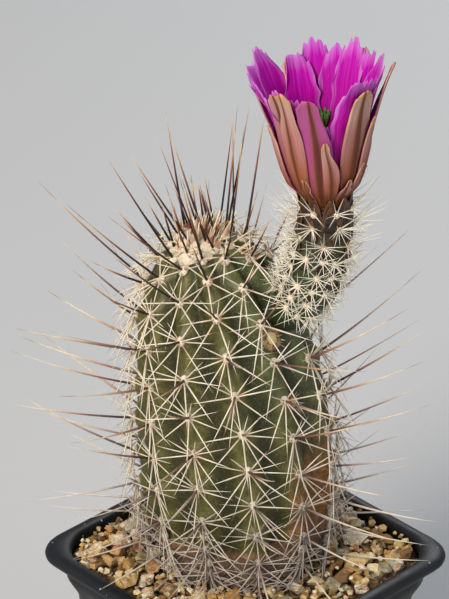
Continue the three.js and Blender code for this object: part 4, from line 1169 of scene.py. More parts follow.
# a star has seven spines like the solid's, and shorter ones between them
star_spines, star_pads = [], []
for level, column, u, turn in tube_areoles:
    ahead = tube_frame(u)[1]
    at = tube_point(u, turn, 0.25)
    out = unit(tube_point(u, turn, 1.0) - tube_point(u, turn))
    seed = 1000 * level + 32 * column
    slots = [(45 * slot, 50000 + seed + slot, False) for slot in (0, 1, 2, 3, 5, 6, 7)]
    full_star = (level + column // 2) % 2 == 0
    slots += [(22 + 45 * k, 60000 + seed + k, True) for k in range(8) if full_star or k % 2]
    for degrees, seed, between in slots:
        draw = seeded(seed)
        about = math.radians(degrees + 10 * (2 * draw() - 1))
        upper = float(smoothstep(level, 6, TUBE_LEVELS - 1) * smoothstep(math.cos(about), -0.2, 0.6))
        lift = math.radians(30 + 8 * (2 * draw() - 1) + 16 * upper + (20 * draw() if between else 0))
        way = star_way(ahead, out, about, lift)
        root = at + 0.3 * way
        length = 6.4 * (1 + 0.9 * upper) * (1 + 0.18 * (2 * draw() - 1)) * (0.85 if between else 1)
        line = root + way * length * np.linspace(0.3, 1, 6)[:, None]
        if inside_stem(line, 0.8).any():
            continue
        thick, bow = lerp(0.14, 0.18, draw()), 0.3 * draw() * out + 0.2 * UP
        star_spines.append(needle(root, way, length, thick, bow, shade=draw(), young=0.0, low=0.0))
    if not inside_stem(at[None], 0.5).any():
        star_pads.append(cushion(at + 0.1 * out, out, ahead, [0.95, 1.0, 0.8], low=0.0))

# the last stars stand just under the bloom, with long spines that reach up past it
LAST_STARS = 7
LAST_STAR_SPINES = 7
LAST_STARS_AT = 0.985
for k in range(LAST_STARS):
    draw = seeded(52000 + k)
    middle, ahead, _, _ = tube_frame(LAST_STARS_AT)
    at = tube_point(LAST_STARS_AT, TURN * (k + 0.45) / LAST_STARS, 0.5)
    out = unit(at - middle)
    for j in range(LAST_STAR_SPINES):
        about = math.radians(34 * (j - 3) + 14 * (draw() - 0.5))
        way = star_way(ahead, out, about, math.radians(lerp(26, 52, draw())))
        length = lerp(5, 7, draw()) + 6 * max(math.cos(about), 0) * draw()
        thick, bow = lerp(0.14, 0.19, draw()), 0.6 * draw() * out
        star_spines.append(needle(at + 0.3 * way, way, length, thick, bow, shade=draw(), young=0.0, low=0.0))
    star_pads.append(cushion(at, out, ahead, [1.0, 1.1, 0.8], low=0.0))
cream_horn = spine_horn(
    "cream_spine_horn",
    [(0.0, "#e4d8b4"), (0.3, "#f6f1e2"), (1.0, "#f2ecdc")],
    [(0.0, "#e4d8b4"), (1.0, "#f2ecdc")],
    [(0.0, "#e4d8b4"), (1.0, "#efe6d2")],
)
plant(
    "tube_spines", star_spines, needles, "tube_flesh", "flower_tube",
    Sides=4, Segments=4, Material=cream_horn,
)
plant(
    "tube_wool", star_pads, cushions, "tube_flesh", "flower_tube",
    Hairs=10, Hair_Length=0.9, Seed=11, Material=felt,
)
print(len(star_spines), "spines in", len(star_pads), "stars")

# %% [markdown]
# Under each star of the upper tube lies a small pointed scale, a leaf that never grew. Towards the top they
# are longer, brown and thick with rolled edges, and the last ones cover the place where the tepals start.

# %% The tube's scales
TUBE_LENGTH = 42.0


def blade(outer, inner, t, v, **marks):
    """Points, faces and numbers of a thin blade: two grids of points, one for each face, joined at their
    border. t and v say how far up and across the blade each point is."""
    rows, across = t.shape
    count = t.size
    faces = grid_faces(rows, across, closed=False)
    faces += [tuple(count + i for i in reversed(face)) for face in faces]
    border = list(range(across)) + [j * across + across - 1 for j in range(1, rows)]
    border += [(rows - 1) * across + i for i in range(across - 2, -1, -1)]
    border += [j * across for j in range(rows - 2, 0, -1)]
    faces += [(b, a, count + a, count + b) for a, b in zip(border, border[1:] + border[:1])]
    numbers = {"t": np.tile(t.ravel(), 2), "v": np.tile(v.ravel(), 2)}
    numbers.update({key: np.full(2 * count, value) for key, value in marks.items()})
    return np.concatenate([outer.reshape(-1, 3), inner.reshape(-1, 3)]), faces, numbers


def scale_blade(u_start, turn, length, half, lift, tone):
    """A pointed leaf that hugs the tube and then lifts off it."""
    t, v = np.meshgrid(np.linspace(0, 1, 9), np.linspace(-1, 1, 7), indexing="ij")
    u = u_start + t * length / TUBE_LENGTH
    width = half * (0.9 + 0.3 * t) * np.clip(1 - t**1.3, 0.03, 1) ** 0.9
    over = np.clip(u - 1, 0, 1) * TUBE_LENGTH
    round_by = turn + v * width / 6.6
    rolled = 0.35 * np.abs(v) ** 3 + 0.3 * np.exp(-((v / 0.25) ** 2))
    sides = []
    for raise_by in (0.35, -0.1):
        more = 0.25 + lift * t**2 + rolled * (1 - t) + raise_by * (1 - 0.7 * t)
        sides.append(tube_point(np.minimum(u, 1), round_by, more) + over[..., None] * bloom_axis)
    return blade(*sides, t, v, tone=tone)


scales = []
draw = seeded(53000)
for level, _, u, turn in tube_areoles:
    if level >= 5 and not inside_stem(tube_point(u, turn, 1.5)[None], 0.5).any():
        length = lerp(2.2, 5.5, (level - 5) / 4) * (0.85 + 0.3 * draw())
        scales.append(scale_blade(u - 0.075, turn, length, lerp(1.0, 1.7, (level - 5) / 4), 0.7, draw()))
# two rings of scales cover the place where the tepals start: how far up the tube, how many, how unevenly
# they stand, the least and the greatest length, half width and lift
SCALE_RINGS = [(0.89, 9, 0.45, 5.6, 8, 2.3, 0.9), (0.93, 11, 0.3, 6.5, 10, 2.2, 1.3)]
for ring_u, count, uneven, least, greatest, half, lift in SCALE_RINGS:
    for k in range(count):
        turn = TURN * (k + uneven * draw()) / count
        scales.append(scale_blade(ring_u, turn, lerp(least, greatest, draw()), half, lift, draw()))
print(len(scales), "scales")

# %% [markdown]
# ## Tepals
#
# A cactus has no clear line between sepals and petals, so both are called tepals. Each is a thin blade that
# starts narrow in the throat, lies in the funnel, and ends in a ragged tip. A plane cut to shape and bent
# would be the usual way. Here each blade is a grid of points with two faces that meet at the edge, thick
# along its midrib and thin at its margin, and every point knows how far up and across the blade it is,
# which the materials need for veins and stripes.

# %% One blade
def in_bloom(turn, radius, height):
    """A point of the bloom. turn runs from its face round to its side."""
    turn, radius, height = np.broadcast_arrays(turn, radius, height)
    return (
        bloom_base + height[..., None] * bloom_axis
        + (radius * np.sin(turn))[..., None] * bloom_side + (radius * np.cos(turn))[..., None] * bloom_face
    )


def tepal(shape, rng, rows=34, across=19):
    """A tepal's blade. shape holds its sizes in millimetres."""
    up = np.linspace(0, 1, rows) ** 0.9
    over = np.sin(np.linspace(-1, 1, across) * math.pi / 2)
    t, v = np.meshgrid(up, over, indexing="ij")
    # the tip: rounded at its corners, and torn in small teeth where the margin is erose
    corner = shape["lower"] * np.abs(v) ** 2
    waves = [rng.uniform(0.2, 1) * np.sin(v * rng.uniform(4, 26) + rng.uniform(0, 6)) for _ in range(6)]
    teeth = sum(waves) / 2.2
    height = lerp(0.8, shape["reach"], t) - smoothstep(t, 0.55, 1) * (corner - shape["teeth"] * teeth)
    height = np.minimum(height, shape["reach"] + 0.4)
    in_funnel = funnel_radius(height) + shape["depth"]
    base = lerp(shape["ring"], in_funnel, smoothstep(height, 0, 8)) + shape["flare"] * t**2
    narrowing = lerp(1, 1 - shape["point"], smoothstep(t, shape["from"], 1))
    half = shape["half"] * lerp(0.45, 1, smoothstep(t, 0, 0.5)) * narrowing
    waver = np.sin(t * rng.uniform(20, 34) + rng.uniform(0, 6))
    notch = 1 + shape["teeth"] * 0.05 * waver * smoothstep(t, 0.4, 0.8)
    # the blade folds out along its midrib and waves at its margins
    fold = shape["fold"] * (np.exp(-((v / 0.16) ** 2)) - 0.35) * smoothstep(t, 0.05, 0.3) * (1 - 0.5 * t)
    ruffle = shape["ruffle"] * np.abs(v) ** 2 * smoothstep(t, 0.3, 1)
    ruffle = ruffle * np.sin(t * rng.uniform(7, 12) + v * rng.uniform(1, 3) + rng.uniform(0, 6))
    radius = base + fold + ruffle + shape["curl"] * smoothstep(t, 0.8, 1) ** 2
    rolled = shape["rolled"] * np.exp(-(((np.abs(v) - 0.88) / 0.1) ** 2))
    thick = shape["thick"] * (1 - 0.75 * np.abs(v) ** 3 + rolled) * lerp(1, 0.45, t)
    sweep = shape["sweep"] * rng.uniform(-1, 1) * smoothstep(t, 0.3, 1) ** 2
    turn = math.radians(shape["degrees"]) + (v * half * notch + sweep) / base
    outer, inner = [in_bloom(turn, radius + side * thick / 2, height) for side in (1, -1)]
    inside = np.repeat([0.0, 1.0], t.size)
    return blade(outer, inner, t, v, inside=inside, tone=rng.uniform(), flush=shape["flush"])


def throat_ring(ring, thick, low, high, count=40):
    """Points and faces of a square-cut ring in the throat, from low to high."""
    turns = TURN * np.arange(count) / count
    wide, narrow = ring + thick / 2, ring - thick / 2
    section = [(wide, low), (wide, high), (narrow, high), (narrow, low)]
    points = np.concatenate([in_bloom(turns, radius, height) for radius, height in section])
    faces = []
    for k in range(4):
        above = count * ((k + 1) % 4)
        for i in range(count):
            j = (i + 1) % count
            faces.append((count * k + i, count * k + j, above + j, above + i))
    return points, faces


def whorl(name, shapes, seed):
    """All the blades of a whorl as one object, with a ring in the throat that they grow from."""
    rng = np.random.default_rng(seed)
    parts = [tepal(shape, rng) for shape in shapes]
    points, faces = throat_ring(shapes[-1]["ring"], 1.1, 0.35, 2.2, 48)
    return gathered(name, parts + [(points, faces, {key: np.zeros(len(points)) for key in parts[0][2]})])


# %% [markdown]
# ### Petal tissue
#
# A petal is thin wet tissue over a net of veins that run lengthwise. Inside, these are a strong magenta,
# deeper in the throat, with a paler lilac margin. The light comes through them a little, which the shader
# calls subsurface. The outer tepals are leathery: flesh pink with a brown stripe down the middle outside,
# and magenta inside like the petals.

# %% Materials: magenta petal tissue and brown-striped outer tepal
def petal_tissue(name, outside_ramp, inside_ramp, margin, margin_width):
    """outside_ramp and inside_ramp go from the throat to the tip, and margin is the edge's hex colour."""
    material, tree, shader, _, t, v, inside, tone = surface(name, "t", "v", "inside", "tone")
    # veins about 0.7 mm apart: noise that is stretched along the blade
    apart = node(tree, "Math", {0: tone, 1: 40.0, 2: v}, operation="MULTIPLY_ADD")
    blade_place = node(tree, "CombineXYZ", {0: apart, 1: t})
    stretched = node(tree, "VectorMath", {0: blade_place, 1: (9.0, 1.6, 1.0)}, operation="MULTIPLY")
    veins = node(tree, "TexNoise", {"Vector": stretched, "Scale": 1.0, "Detail": 4, "Roughness": 0.6})
    outside = node(tree, "ValToRGB", {0: t}, outside_ramp)
    within = node(tree, "ValToRGB", {0: t}, inside_ramp)
    face = node(tree, "Mix", {0: inside, 6: outside, 7: within}, data_type="RGBA")
    off_middle = node(tree, "Math", {0: v}, operation="ABSOLUTE")
    ragged = node(tree, "Math", {0: veins, 1: 0.35, 2: off_middle}, operation="MULTIPLY_ADD")
    at_edge = node(tree, "MapRange", {0: ragged, 1: 1.15 - margin_width, 2: 1.2})
    high = node(tree, "MapRange", {0: t, 1: 0.45, 2: 0.9})
    edge = node(tree, "Math", {0: at_edge, 1: high}, operation="MULTIPLY")
    uneven_tip = node(tree, "Math", {0: veins, 1: 0.16, 2: t}, operation="MULTIPLY_ADD")
    at_tip = node(tree, "MapRange", {0: uneven_tip, 1: 0.97, 2: 1.1, 3: 0.0, 4: 0.75})
    edge = node(tree, "Math", {0: edge, 1: at_tip}, operation="MAXIMUM")
    edged = node(tree, "Mix", {0: edge, 6: face, 7: margin}, data_type="RGBA")
    vein_light = node(tree, "MapRange", {0: veins, 1: 0.3, 2: 0.7, 3: 0.86, 4: 1.14})
    vein_pale = node(tree, "MapRange", {0: veins, 1: 0.35, 2: 0.75, 3: 1.05, 4: 0.93})
    veined = node(tree, "HueSaturation", {"Value": vein_light, "Saturation": vein_pale, "Color": edged})
    ridges = node(tree, "Bump", {"Height": veins, "Strength": 0.5, "Distance": 0.35 * MM})
    # the surface is a felt of tiny cones, which hide most of the gloss that a smooth wax would have
    feed(shader, {
        "Normal": ridges, "Roughness": 0.6, "Specular IOR Level": 0.1, "Subsurface Weight": 0.12,
        "Subsurface Radius": (1.0, 0.35, 0.8), "Subsurface Scale": 0.8 * MM,
    })
    return material, tree, shader, veined, t, v, inside, tone


petal, _, shader, petal_colour, *_ = petal_tissue(
    "magenta_petal_tissue",
    [(0.0, "#6c1440"), (0.35, "#96287a"), (0.7, "#b01098"), (1.0, "#bc26b0")],
    [(0.0, "#5e003c"), (0.25, "#8c006e"), (0.6, "#a80092"), (1.0, "#bc1ab2")],
    "#cc88d6", 0.24,
)
feed(shader, {"Base Color": petal_colour})

leathery, tree, shader, outer_colour, t, v, inside, tone = petal_tissue(
    "brown_striped_outer_tepal",
    [
        (0.0, "#3c1a10"), (0.12, "#6e3a22"), (0.32, "#9c6048"), (0.6, "#b57c78"), (0.88, "#c09a90"),
        (1.0, "#c8a078"),
    ],
    [(0.0, "#5e0040"), (0.4, "#86106c"), (0.8, "#9a2088"), (1.0, "#a84a92")],
    "#cfa27a", 0.16,
)
outside_only = node(tree, "MapRange", {0: inside, 3: 1.0, 4: 0.0})
flush = node(tree, "Attribute", attribute_name="flush").outputs["Fac"]
flushed_up = node(tree, "MapRange", {0: t, 1: 0.1, 2: 0.5})
flushing = node(tree, "Math", {0: flush, 1: flushed_up}, operation="MULTIPLY")
flushing = node(tree, "Math", {0: flushing, 1: outside_only}, operation="MULTIPLY")
flushed = node(tree, "Mix", {0: flushing, 6: outer_colour, 7: "#a8408c"}, data_type="RGBA")
# the stripe: a soft red brown band with a dark line down its middle
stripe_width = node(tree, "MapRange", {0: t, 1: 0.0, 2: 1.0, 3: 0.4, 4: 0.16})
off_centre = node(tree, "MapRange", {0: tone, 3: -0.22, 4: 0.22})
from_stripe = node(tree, "Math", {0: v, 1: off_centre}, operation="SUBTRACT")
from_stripe = node(tree, "Math", {0: from_stripe}, operation="ABSOLUTE")
across_stripe = node(tree, "Math", {0: from_stripe, 1: stripe_width}, operation="DIVIDE")
band = node(tree, "MapRange", {0: across_stripe, 1: 1.9, 2: 0.6, 3: 0.0, 4: 0.7})
line = node(tree, "MapRange", {0: across_stripe, 1: 0.9, 2: 0.35, 3: 0.0, 4: 0.7})
band = node(tree, "Math", {0: band, 1: outside_only}, operation="MULTIPLY")
line = node(tree, "Math", {0: line, 1: outside_only}, operation="MULTIPLY")
banded = node(tree, "Mix", {0: band, 6: flushed, 7: "#8e5236"}, data_type="RGBA")
striped = node(tree, "Mix", {0: line, 6: banded, 7: "#46260f"}, data_type="RGBA")
feed(shader, {"Base Color": striped, "Subsurface Weight": 0.08})

# %% Material: brown scale leaf, and the scales
leafy, tree, shader, in_mm, t, v = surface("brown_scale_leaf", "t", "v")
streaks = node(tree, "TexNoise", {"Vector": in_mm, "Scale": 1 / 1.1, "Detail": 4})
up_leaf = node(tree, "Math", {0: streaks, 1: 0.4, 2: t}, operation="MULTIPLY_ADD")
leaf_body = node(
    tree, "ValToRGB", {0: up_leaf},
    [(0.15, "#201f0d"), (0.5, "#281a0d"), (0.85, "#3e2414"), (1.0, "#5c3520")],
)
from_middle = node(tree, "Math", {0: v}, operation="ABSOLUTE")
rim = node(tree, "MapRange", {0: from_middle, 1: 0.7, 2: 1.0, 3: 0.0, 4: 0.6})
leaf_colour = node(tree, "Mix", {0: rim, 6: leaf_body, 7: "#7c5636"}, data_type="RGBA")
leaf_grain = node(tree, "Bump", {"Height": streaks, "Strength": 0.4, "Distance": 0.3 * MM})
feed(shader, {"Base Color": leaf_colour, "Roughness": 0.5, "Normal": leaf_grain})
finish(gathered("tube_scales", scales), leafy, "flower_tube")

# %% Where each tepal stands
# degrees from the bloom's face, height, half width, flare at the tip
SHORT_TEPALS = [
    (9, 25, 2.2, 0.4), (34, 11, 2, 0), (62, 15, 2.2, 0), (64, 29, 2.6, 0), (90, 11, 2, 0), (118, 20, 2.4, 0),
    (178, 20, 2.4, 0), (-135, 18, 2.4, 0), (-80, 26, 2.8, 0), (-38, 12, 2.2, 0),
]
OUTER_TEPALS = [
    (-150, 38, 3.4, 0.2), (-105, 36, 3.2, 1.6), (-52, 38.5, 3.6, 0), (-36, 40.5, 2.6, 0), (-12, 38.5, 3.9, 0),
    (45, 39, 3.9, 0), (86, 41.5, 3.4, 0.9), (140, 40, 3.6, 0.4),
]
FLUSH = {-12: 0.85, 86: 0.35, -52: 0.3, 140: 0.5, -105: 0.55}  # how magenta an outer tepal's outside is
INNER_TEPALS = [
    (-175, 42, 5.6, 0), (-151, 39.5, 4.8, -0.2), (-124, 42.5, 5.6, 2.4), (-97, 41, 5.8, 3.4),
    (-72, 40, 4.8, 1.8), (-46, 38.5, 4.4, 0), (-22, 37.5, 4.2, -0.4), (4, 29, 3.4, 0), (32, 42, 4.6, -0.6),
    (54, 40.5, 4.4, 0), (78, 41, 4.2, -0.4), (100, 42.5, 4.4, 0.2), (122, 41, 3.8, -0.4), (144, 43, 4, 0),
    (161, 40.5, 4, -0.4),
]


def shapes_of(rows, depths, widen, **common):
    """The shape of each blade of a table. They are wider here than the solids, whose blades can't overlap."""
    shapes = []
    for i, (degrees, reach, half, flare) in enumerate(rows):
        row = {"degrees": degrees, "reach": reach, "half": widen * half, "flare": flare}
        shapes.append({**row, "flush": FLUSH.get(degrees, 0.0), "depth": depths[i % len(depths)], **common})
    return shapes


outer_common = {"ring": 5.9, "thick": 0.9, "from": 0.55, "fold": 0.6, "curl": 0.3, "rolled": 0.7, "sweep": 2}
short_shapes = shapes_of(
    SHORT_TEPALS, [0.1], 1.05,
    point=0.5, lower=2.0, teeth=0.1, ruffle=0.15, **outer_common,
)
outer_shapes = shapes_of(
    OUTER_TEPALS, [-1, -1, -1, 0.1, -0.7, -1, -1, -1], 1.3,
    point=0.4, lower=2.6, teeth=0.25, ruffle=0.5, **outer_common,
)
inner_shapes = shapes_of(
    INNER_TEPALS, [-2.2, -3.3], 1.14,
    point=0.24, lower=4.6, teeth=1.6, ruffle=0.9, ring=4.1, thick=0.5, fold=0.3, curl=0.2, rolled=0.0,
    sweep=1.2, **{"from": 0.8},
)
outer_whorl = whorl("outer_tepal_whorl", short_shapes + outer_shapes, 21)
finish(outer_whorl, leathery, "outer_tepals")
finish(whorl("inner_tepal_whorl", inner_shapes, 22), petal, "inner_tepals")

# %% [markdown]
# ## Stamens and pistil
#
# Down in the throat stands a brush of stamens, each a thread with a small bag of yellow pollen at its head.
# The pistil comes up through the middle and opens in a bunch of green lobes, the mark of this genus. The
# threads are needles of the same tree as the spines, and the pollen bags are small cushions.

# %% Geometry helper: a round rod along a line
def rod(line, radii, sides=10, rows=14):
    """Points and faces of a closed round rod that runs through the points of line."""
    line, radii = np.asarray(line, float), np.asarray(radii, float)
    t = np.linspace(0, 1, rows)
    given_t = np.linspace(0, 1, len(line))
    weights = np.array([np.polyfit(given_t, line[:, k], min(2, len(line) - 1)) for k in range(3)])
    middle = np.array([np.polyval(w, t) for w in weights]).T
    blunt_end = np.sqrt(np.clip(1 - (2 * np.clip(t - 0.5, 0, 1)) ** 8, 0.03, 1))
    thick = np.interp(t, np.linspace(0, 1, len(radii)), radii) * blunt_end
    ahead = unit(np.gradient(middle, axis=0))
    side = unit(np.cross(ahead, [0.31, 0.17, 0.93]))
    other = np.cross(ahead, side)
    turn = (TURN * np.arange(sides) / sides)[None, :, None]
    round_by = side[:, None] * np.cos(turn) + other[:, None] * np.sin(turn)
    rings = middle[:, None] + thick[:, None, None] * round_by
    ends = [middle[0] - 0.02 * ahead[0], middle[-1] + 0.02 * ahead[-1]]
    return np.concatenate([rings.reshape(-1, 3), ends]), closed_tube_faces(rows, sides)


# %% Material: yellow stamens
stamen, tree, shader, in_mm = surface("pollen_yellow_stamen")
dust = node(tree, "TexNoise", {"Vector": in_mm, "Scale": 1 / 0.5, "Detail": 3})
pollen = node(tree, "ValToRGB", {0: dust}, [(0.3, "#c9962c"), (0.7, "#f2d668")])
grains = node(tree, "Bump", {"Height": dust, "Strength": 0.5, "Distance": 0.15 * MM})
feed(shader, {"Base Color": pollen, "Roughness": 0.85, "Normal": grains})

STAMEN_COUNT = 96
TURNS_OF_STAMENS = 5
threads, bags = [], []
draw = seeded(7100)
for i in range(STAMEN_COUNT):
    turn = TURN * (i + 0.6 * draw()) / STAMEN_COUNT * TURNS_OF_STAMENS
    foot_out, head_out, reach = lerp(2.0, 2.9, draw()), lerp(3.2, 6.4, draw()), lerp(13, 19.5, draw())
    foot_at = in_bloom(turn, foot_out, 1.0)
    head_at = in_bloom(turn + 0.3 * draw(), head_out, reach)
    middle = in_bloom(turn, 0.9 * head_out, 0.55 * reach)
    bow = 2 * (0.5 * (foot_at + head_at) - middle)
    straight = head_at - foot_at - bow
    threads.append(needle(foot_at, unit(straight), np.linalg.norm(straight), 0.16, bow))
    out = unit(bloom_axis + 0.3 * unit(head_at - middle))
    bags.append(cushion(head_at, out, bloom_side, [0.42, 0.5, 0.75]))
plant(
    "stamen_threads", threads, needles, "stamen", "stamens",
    Sides=4, Segments=5, Taper=4.0, Tip_Width=0.5, Material=stamen,
)
plant(
    "stamen_heads", bags, cushions, "stamen", "stamens",
    Pad_Lumps=0.3, Hairs=1, Hair_Length=0.2, Material=stamen,
)
finish(gathered("stamen_ring", [throat_ring(2.5, 1.2, 0.35, 1.6)]), stamen, "stamens")

# %% Material: green stigma, and the pistil
stigma, tree, shader, in_mm = surface("velvety_green_stigma")
down = node(tree, "TexNoise", {"Vector": in_mm, "Scale": 1 / 0.6, "Detail": 3})
greens = node(tree, "ValToRGB", {0: down}, [(0.3, "#2c561a"), (0.7, "#5f9434")])
velvet = node(tree, "Bump", {"Height": down, "Strength": 0.5, "Distance": 0.2 * MM})
feed(shader, {"Base Color": greens, "Roughness": 0.6, "Normal": velvet})


def bloom_line(*rows):
    """The points of a line, from rows of turn, radius and height in the bloom."""
    return [in_bloom(*row) for row in rows]


LOBES = 10
pistil_parts = [rod(bloom_line((0, 0, 0.3), (0, 0, 12), (0, 0, 25.2)), [1.1, 1.1, 1.25], 16)]
for i in range(LOBES):
    turn = TURN * (i + 0.15 * (i % 3)) / LOBES
    spread = 1.7 + 0.5 * (i % 2)
    lobe = bloom_line((turn, 0.3, 22.6), (turn, 1.7, 25.2), (turn, spread, 28.3 - 0.6 * (i % 2)))
    pistil_parts.append(rod(lobe, [0.42, 0.6, 0.42], 8, 10))
finish(gathered("pistil_lobes", pistil_parts), stigma, "pistil")

# %% [markdown]
# ## Gravel
#
# The pot is topped with crushed stone, sold as grit: angular chips from 2 to 11 mm, ochre, tan, cream, rust
# and grey, with dark gaps between. The large chips stand where the solids have theirs, with their faces
# broken up, but the grit is heaped a little higher here, most of all behind the stem. Between and on them
# lie many other chips. A crushed chip is close to the hull of a few random points, so that is how the
# patterns for them are made, and a tree picks one for each point, turns it and sizes it.

# %% Where the large chips lie
POT_WALLS = np.array([[33.0, 9.0, 0.0], [38.3, 10.0, 64.5], [40.8, 10.5, 70.4], [40.8, 10.5, 76.6]])
WALL = 1.3
GAP = 0.35
SOIL_TOP = 71
BED_TOP = 74.5
STONE_COUNT = 76


def rounded_square(half, corner, z, steps=9, along=3):
    """A ring of points: a square with round corners, anticlockwise seen from above."""
    middles = (half - corner) * np.array([(1, 1), (-1, 1), (-1, -1), (1, -1)])
    ring = []
    for quarter in range(4):
        turns = (quarter + np.arange(steps + 1) / steps) * math.pi / 2
        arc = middles[quarter] + corner * np.stack([np.cos(turns), np.sin(turns)], axis=1)
        onwards = middles[(quarter + 1) % 4] - middles[quarter]
        straight = arc[-1] + onwards * (np.arange(1, along + 1) / (along + 1))[:, None]
        ring += [*arc, *straight]
    return np.column_stack([ring, np.full(len(ring), z)])


def inside_ring(z, room=0.0, **detail):
    """The ring of the pot's inner wall at a height, or room millimetres inside it."""
    half = np.interp(z, POT_WALLS[:, 2], POT_WALLS[:, 0]) - WALL - room
    return rounded_square(half, np.interp(z, POT_WALLS[:, 2], POT_WALLS[:, 1]) - WALL / 2, z, **detail)


bed_half = inside_ring(BED_TOP, GAP)[:, 0].max()
stem_foot = lean(0.0, 0.0, SOIL_LINE)

HEAP_EVERYWHERE = 1.8
HEAP_AT_STEM = 0.4
HEAP_BEHIND_STEM = 5.6
HEAP_CREST = 25
HEAP_SPREAD = 9


def heap(x, y):
    """How much higher than on the solids the chips lie: most of all against the stem, behind it."""
    away_x, away_y = x - stem_foot[0], y - stem_foot[1]
    from_stem = np.hypot(away_x, away_y)
    behind = np.clip(0.6 - (away_x * FACE[0] + away_y * FACE[1]) / 36, 0, 1)
    against = np.exp(-(((from_stem - HEAP_CREST) / HEAP_SPREAD) ** 2))
    return HEAP_EVERYWHERE + (HEAP_AT_STEM + HEAP_BEHIND_STEM * behind) * against


MOST_TRIES = 9000
CORNER_MIDDLE = 29
CORNER_ROOM = 10
STEM_ROOM = 24
draw = seeded(42)
stones = []
for _ in range(MOST_TRIES):
    if len(stones) == STONE_COUNT:
        break
    size = lerp(2.2, 4.2, draw() ** 1.5)
    x, y = (2 * draw() - 1) * (bed_half - size), (2 * draw() - 1) * (bed_half - size)
    corner = math.hypot(max(abs(x) - CORNER_MIDDLE, 0), max(abs(y) - CORNER_MIDDLE, 0))
    near_stem = math.hypot(x - stem_foot[0], y - stem_foot[1]) < STEM_ROOM + size
    if corner < CORNER_ROOM - size and not near_stem:
        if all(math.hypot(x - one[0], y - one[1]) >= 0.88 * (size + one[2]) for one in stones):
            stones.append((x, y, size))
print(len(stones), "large chips; the first lies at", np.round(stones[0], 2))

# %% [markdown]
# ### The large chips
#
# Each starts as the solid's own box with its corners pulled in, and gets a grid of five by five on every
# side. Its edges are worn round, a few random planes knock flat faces on it, and a fine roughness goes over
# all.

# %% The large chips' meshes
def cube_grid(n):
    """Points on a cube from -1 to 1 and their quads, with shared edges, as bmesh makes them."""
    shape = bmesh.new()
    bmesh.ops.create_cube(shape, size=2)
    bmesh.ops.subdivide_edges(shape, edges=shape.edges[:], cuts=n - 1, use_grid_fill=True)
    points = np.array([v.co[:] for v in shape.verts])
    faces = [tuple(v.index for v in f.verts) for f in shape.faces]
    shape.free()
    return points, faces


def turned_by(points, angle, first, second):
    """Points turned from axis first towards axis second, where 0, 1 and 2 are X, Y and Z."""
    c, s = math.cos(angle), math.sin(angle)
    turned = points.copy()
    turned[:, first] = c * points[:, first] - s * points[:, second]
    turned[:, second] = s * points[:, first] + c * points[:, second]
    return turned


# a box's corners, in the order in which the solids' chips draw their numbers
BOX_CORNERS = np.array([
    [1, 1, 1], [1, 1, -1], [1, -1, 1], [1, -1, -1], [-1, 1, -1], [-1, 1, 1], [-1, -1, -1], [-1, -1, 1],
])
cube_points, cube_faces = cube_grid(5)
chip_parts, settled = [], []
rng = np.random.default_rng(5)
for i, (x, y, size) in enumerate(stones):
    draw = seeded(9000 + i)
    corners = BOX_CORNERS * np.array([size, 0.85 * size, 0.575 * size])
    corners = corners * np.array([[lerp(0.58, 1, draw()) for _ in range(3)] for _ in range(8)])
    corners = turned_by(corners, 0.4 * (draw() - 0.5), 2, 0)
    corners = turned_by(corners, 0.4 * (draw() - 0.5), 1, 2)
    corners = turned_by(corners, TURN * draw(), 0, 1)
    top = min(lerp(BED_TOP + 1.2, STONE_TOP, 0.5 * draw() + 0.25 * (size - 2.2)), STONE_TOP) + heap(x, y)
    corners += np.array([x, y, top - corners[:, 2].max()])
    middle = corners.mean(axis=0)
    # worn edges: a point near the cube's corners comes in towards the middle
    length = np.linalg.norm(cube_points, axis=1)
    inwards = cube_points * (1 - 0.13 * np.clip(length - 1.15, 0, 1))[:, None]
    weights = np.prod(1 + inwards[:, None] * BOX_CORNERS[None], axis=2) / 8
    points = weights @ corners - middle
    for _ in range(7):
        plane = unit(rng.normal(size=3))
        reach = points @ plane
        limit = reach.max() * rng.uniform(0.72, 0.9)
        points -= np.clip(reach - limit, 0, None)[:, None] * plane
    points += rng.normal(scale=0.07, size=points.shape)
    tone = rng.uniform()
    chip_parts.append((points + middle, cube_faces, {"tone": np.full(len(points), tone)}))
    settled.append((middle[0], middle[1], middle[2], 0.85 * size, top - middle[2]))
print(len(chip_parts), "large chips of", len(cube_faces), "quads")

# %% [markdown]
# ### Where the small chips settle
#
# A handful of grit comes to rest on what already lies there. Each chip below is dropped at a random place
# and stops on the highest chip under it, so they fill the gaps first and then lie on each other. Middling
# ones come first and small ones last, which is how grit sorts itself when the pot is tapped.

# %% Dropping the small chips
# they come a little further into the corners than the large ones
SMALL_CORNER_MIDDLE = 29.2
SMALL_CORNER_ROOM = 9.8


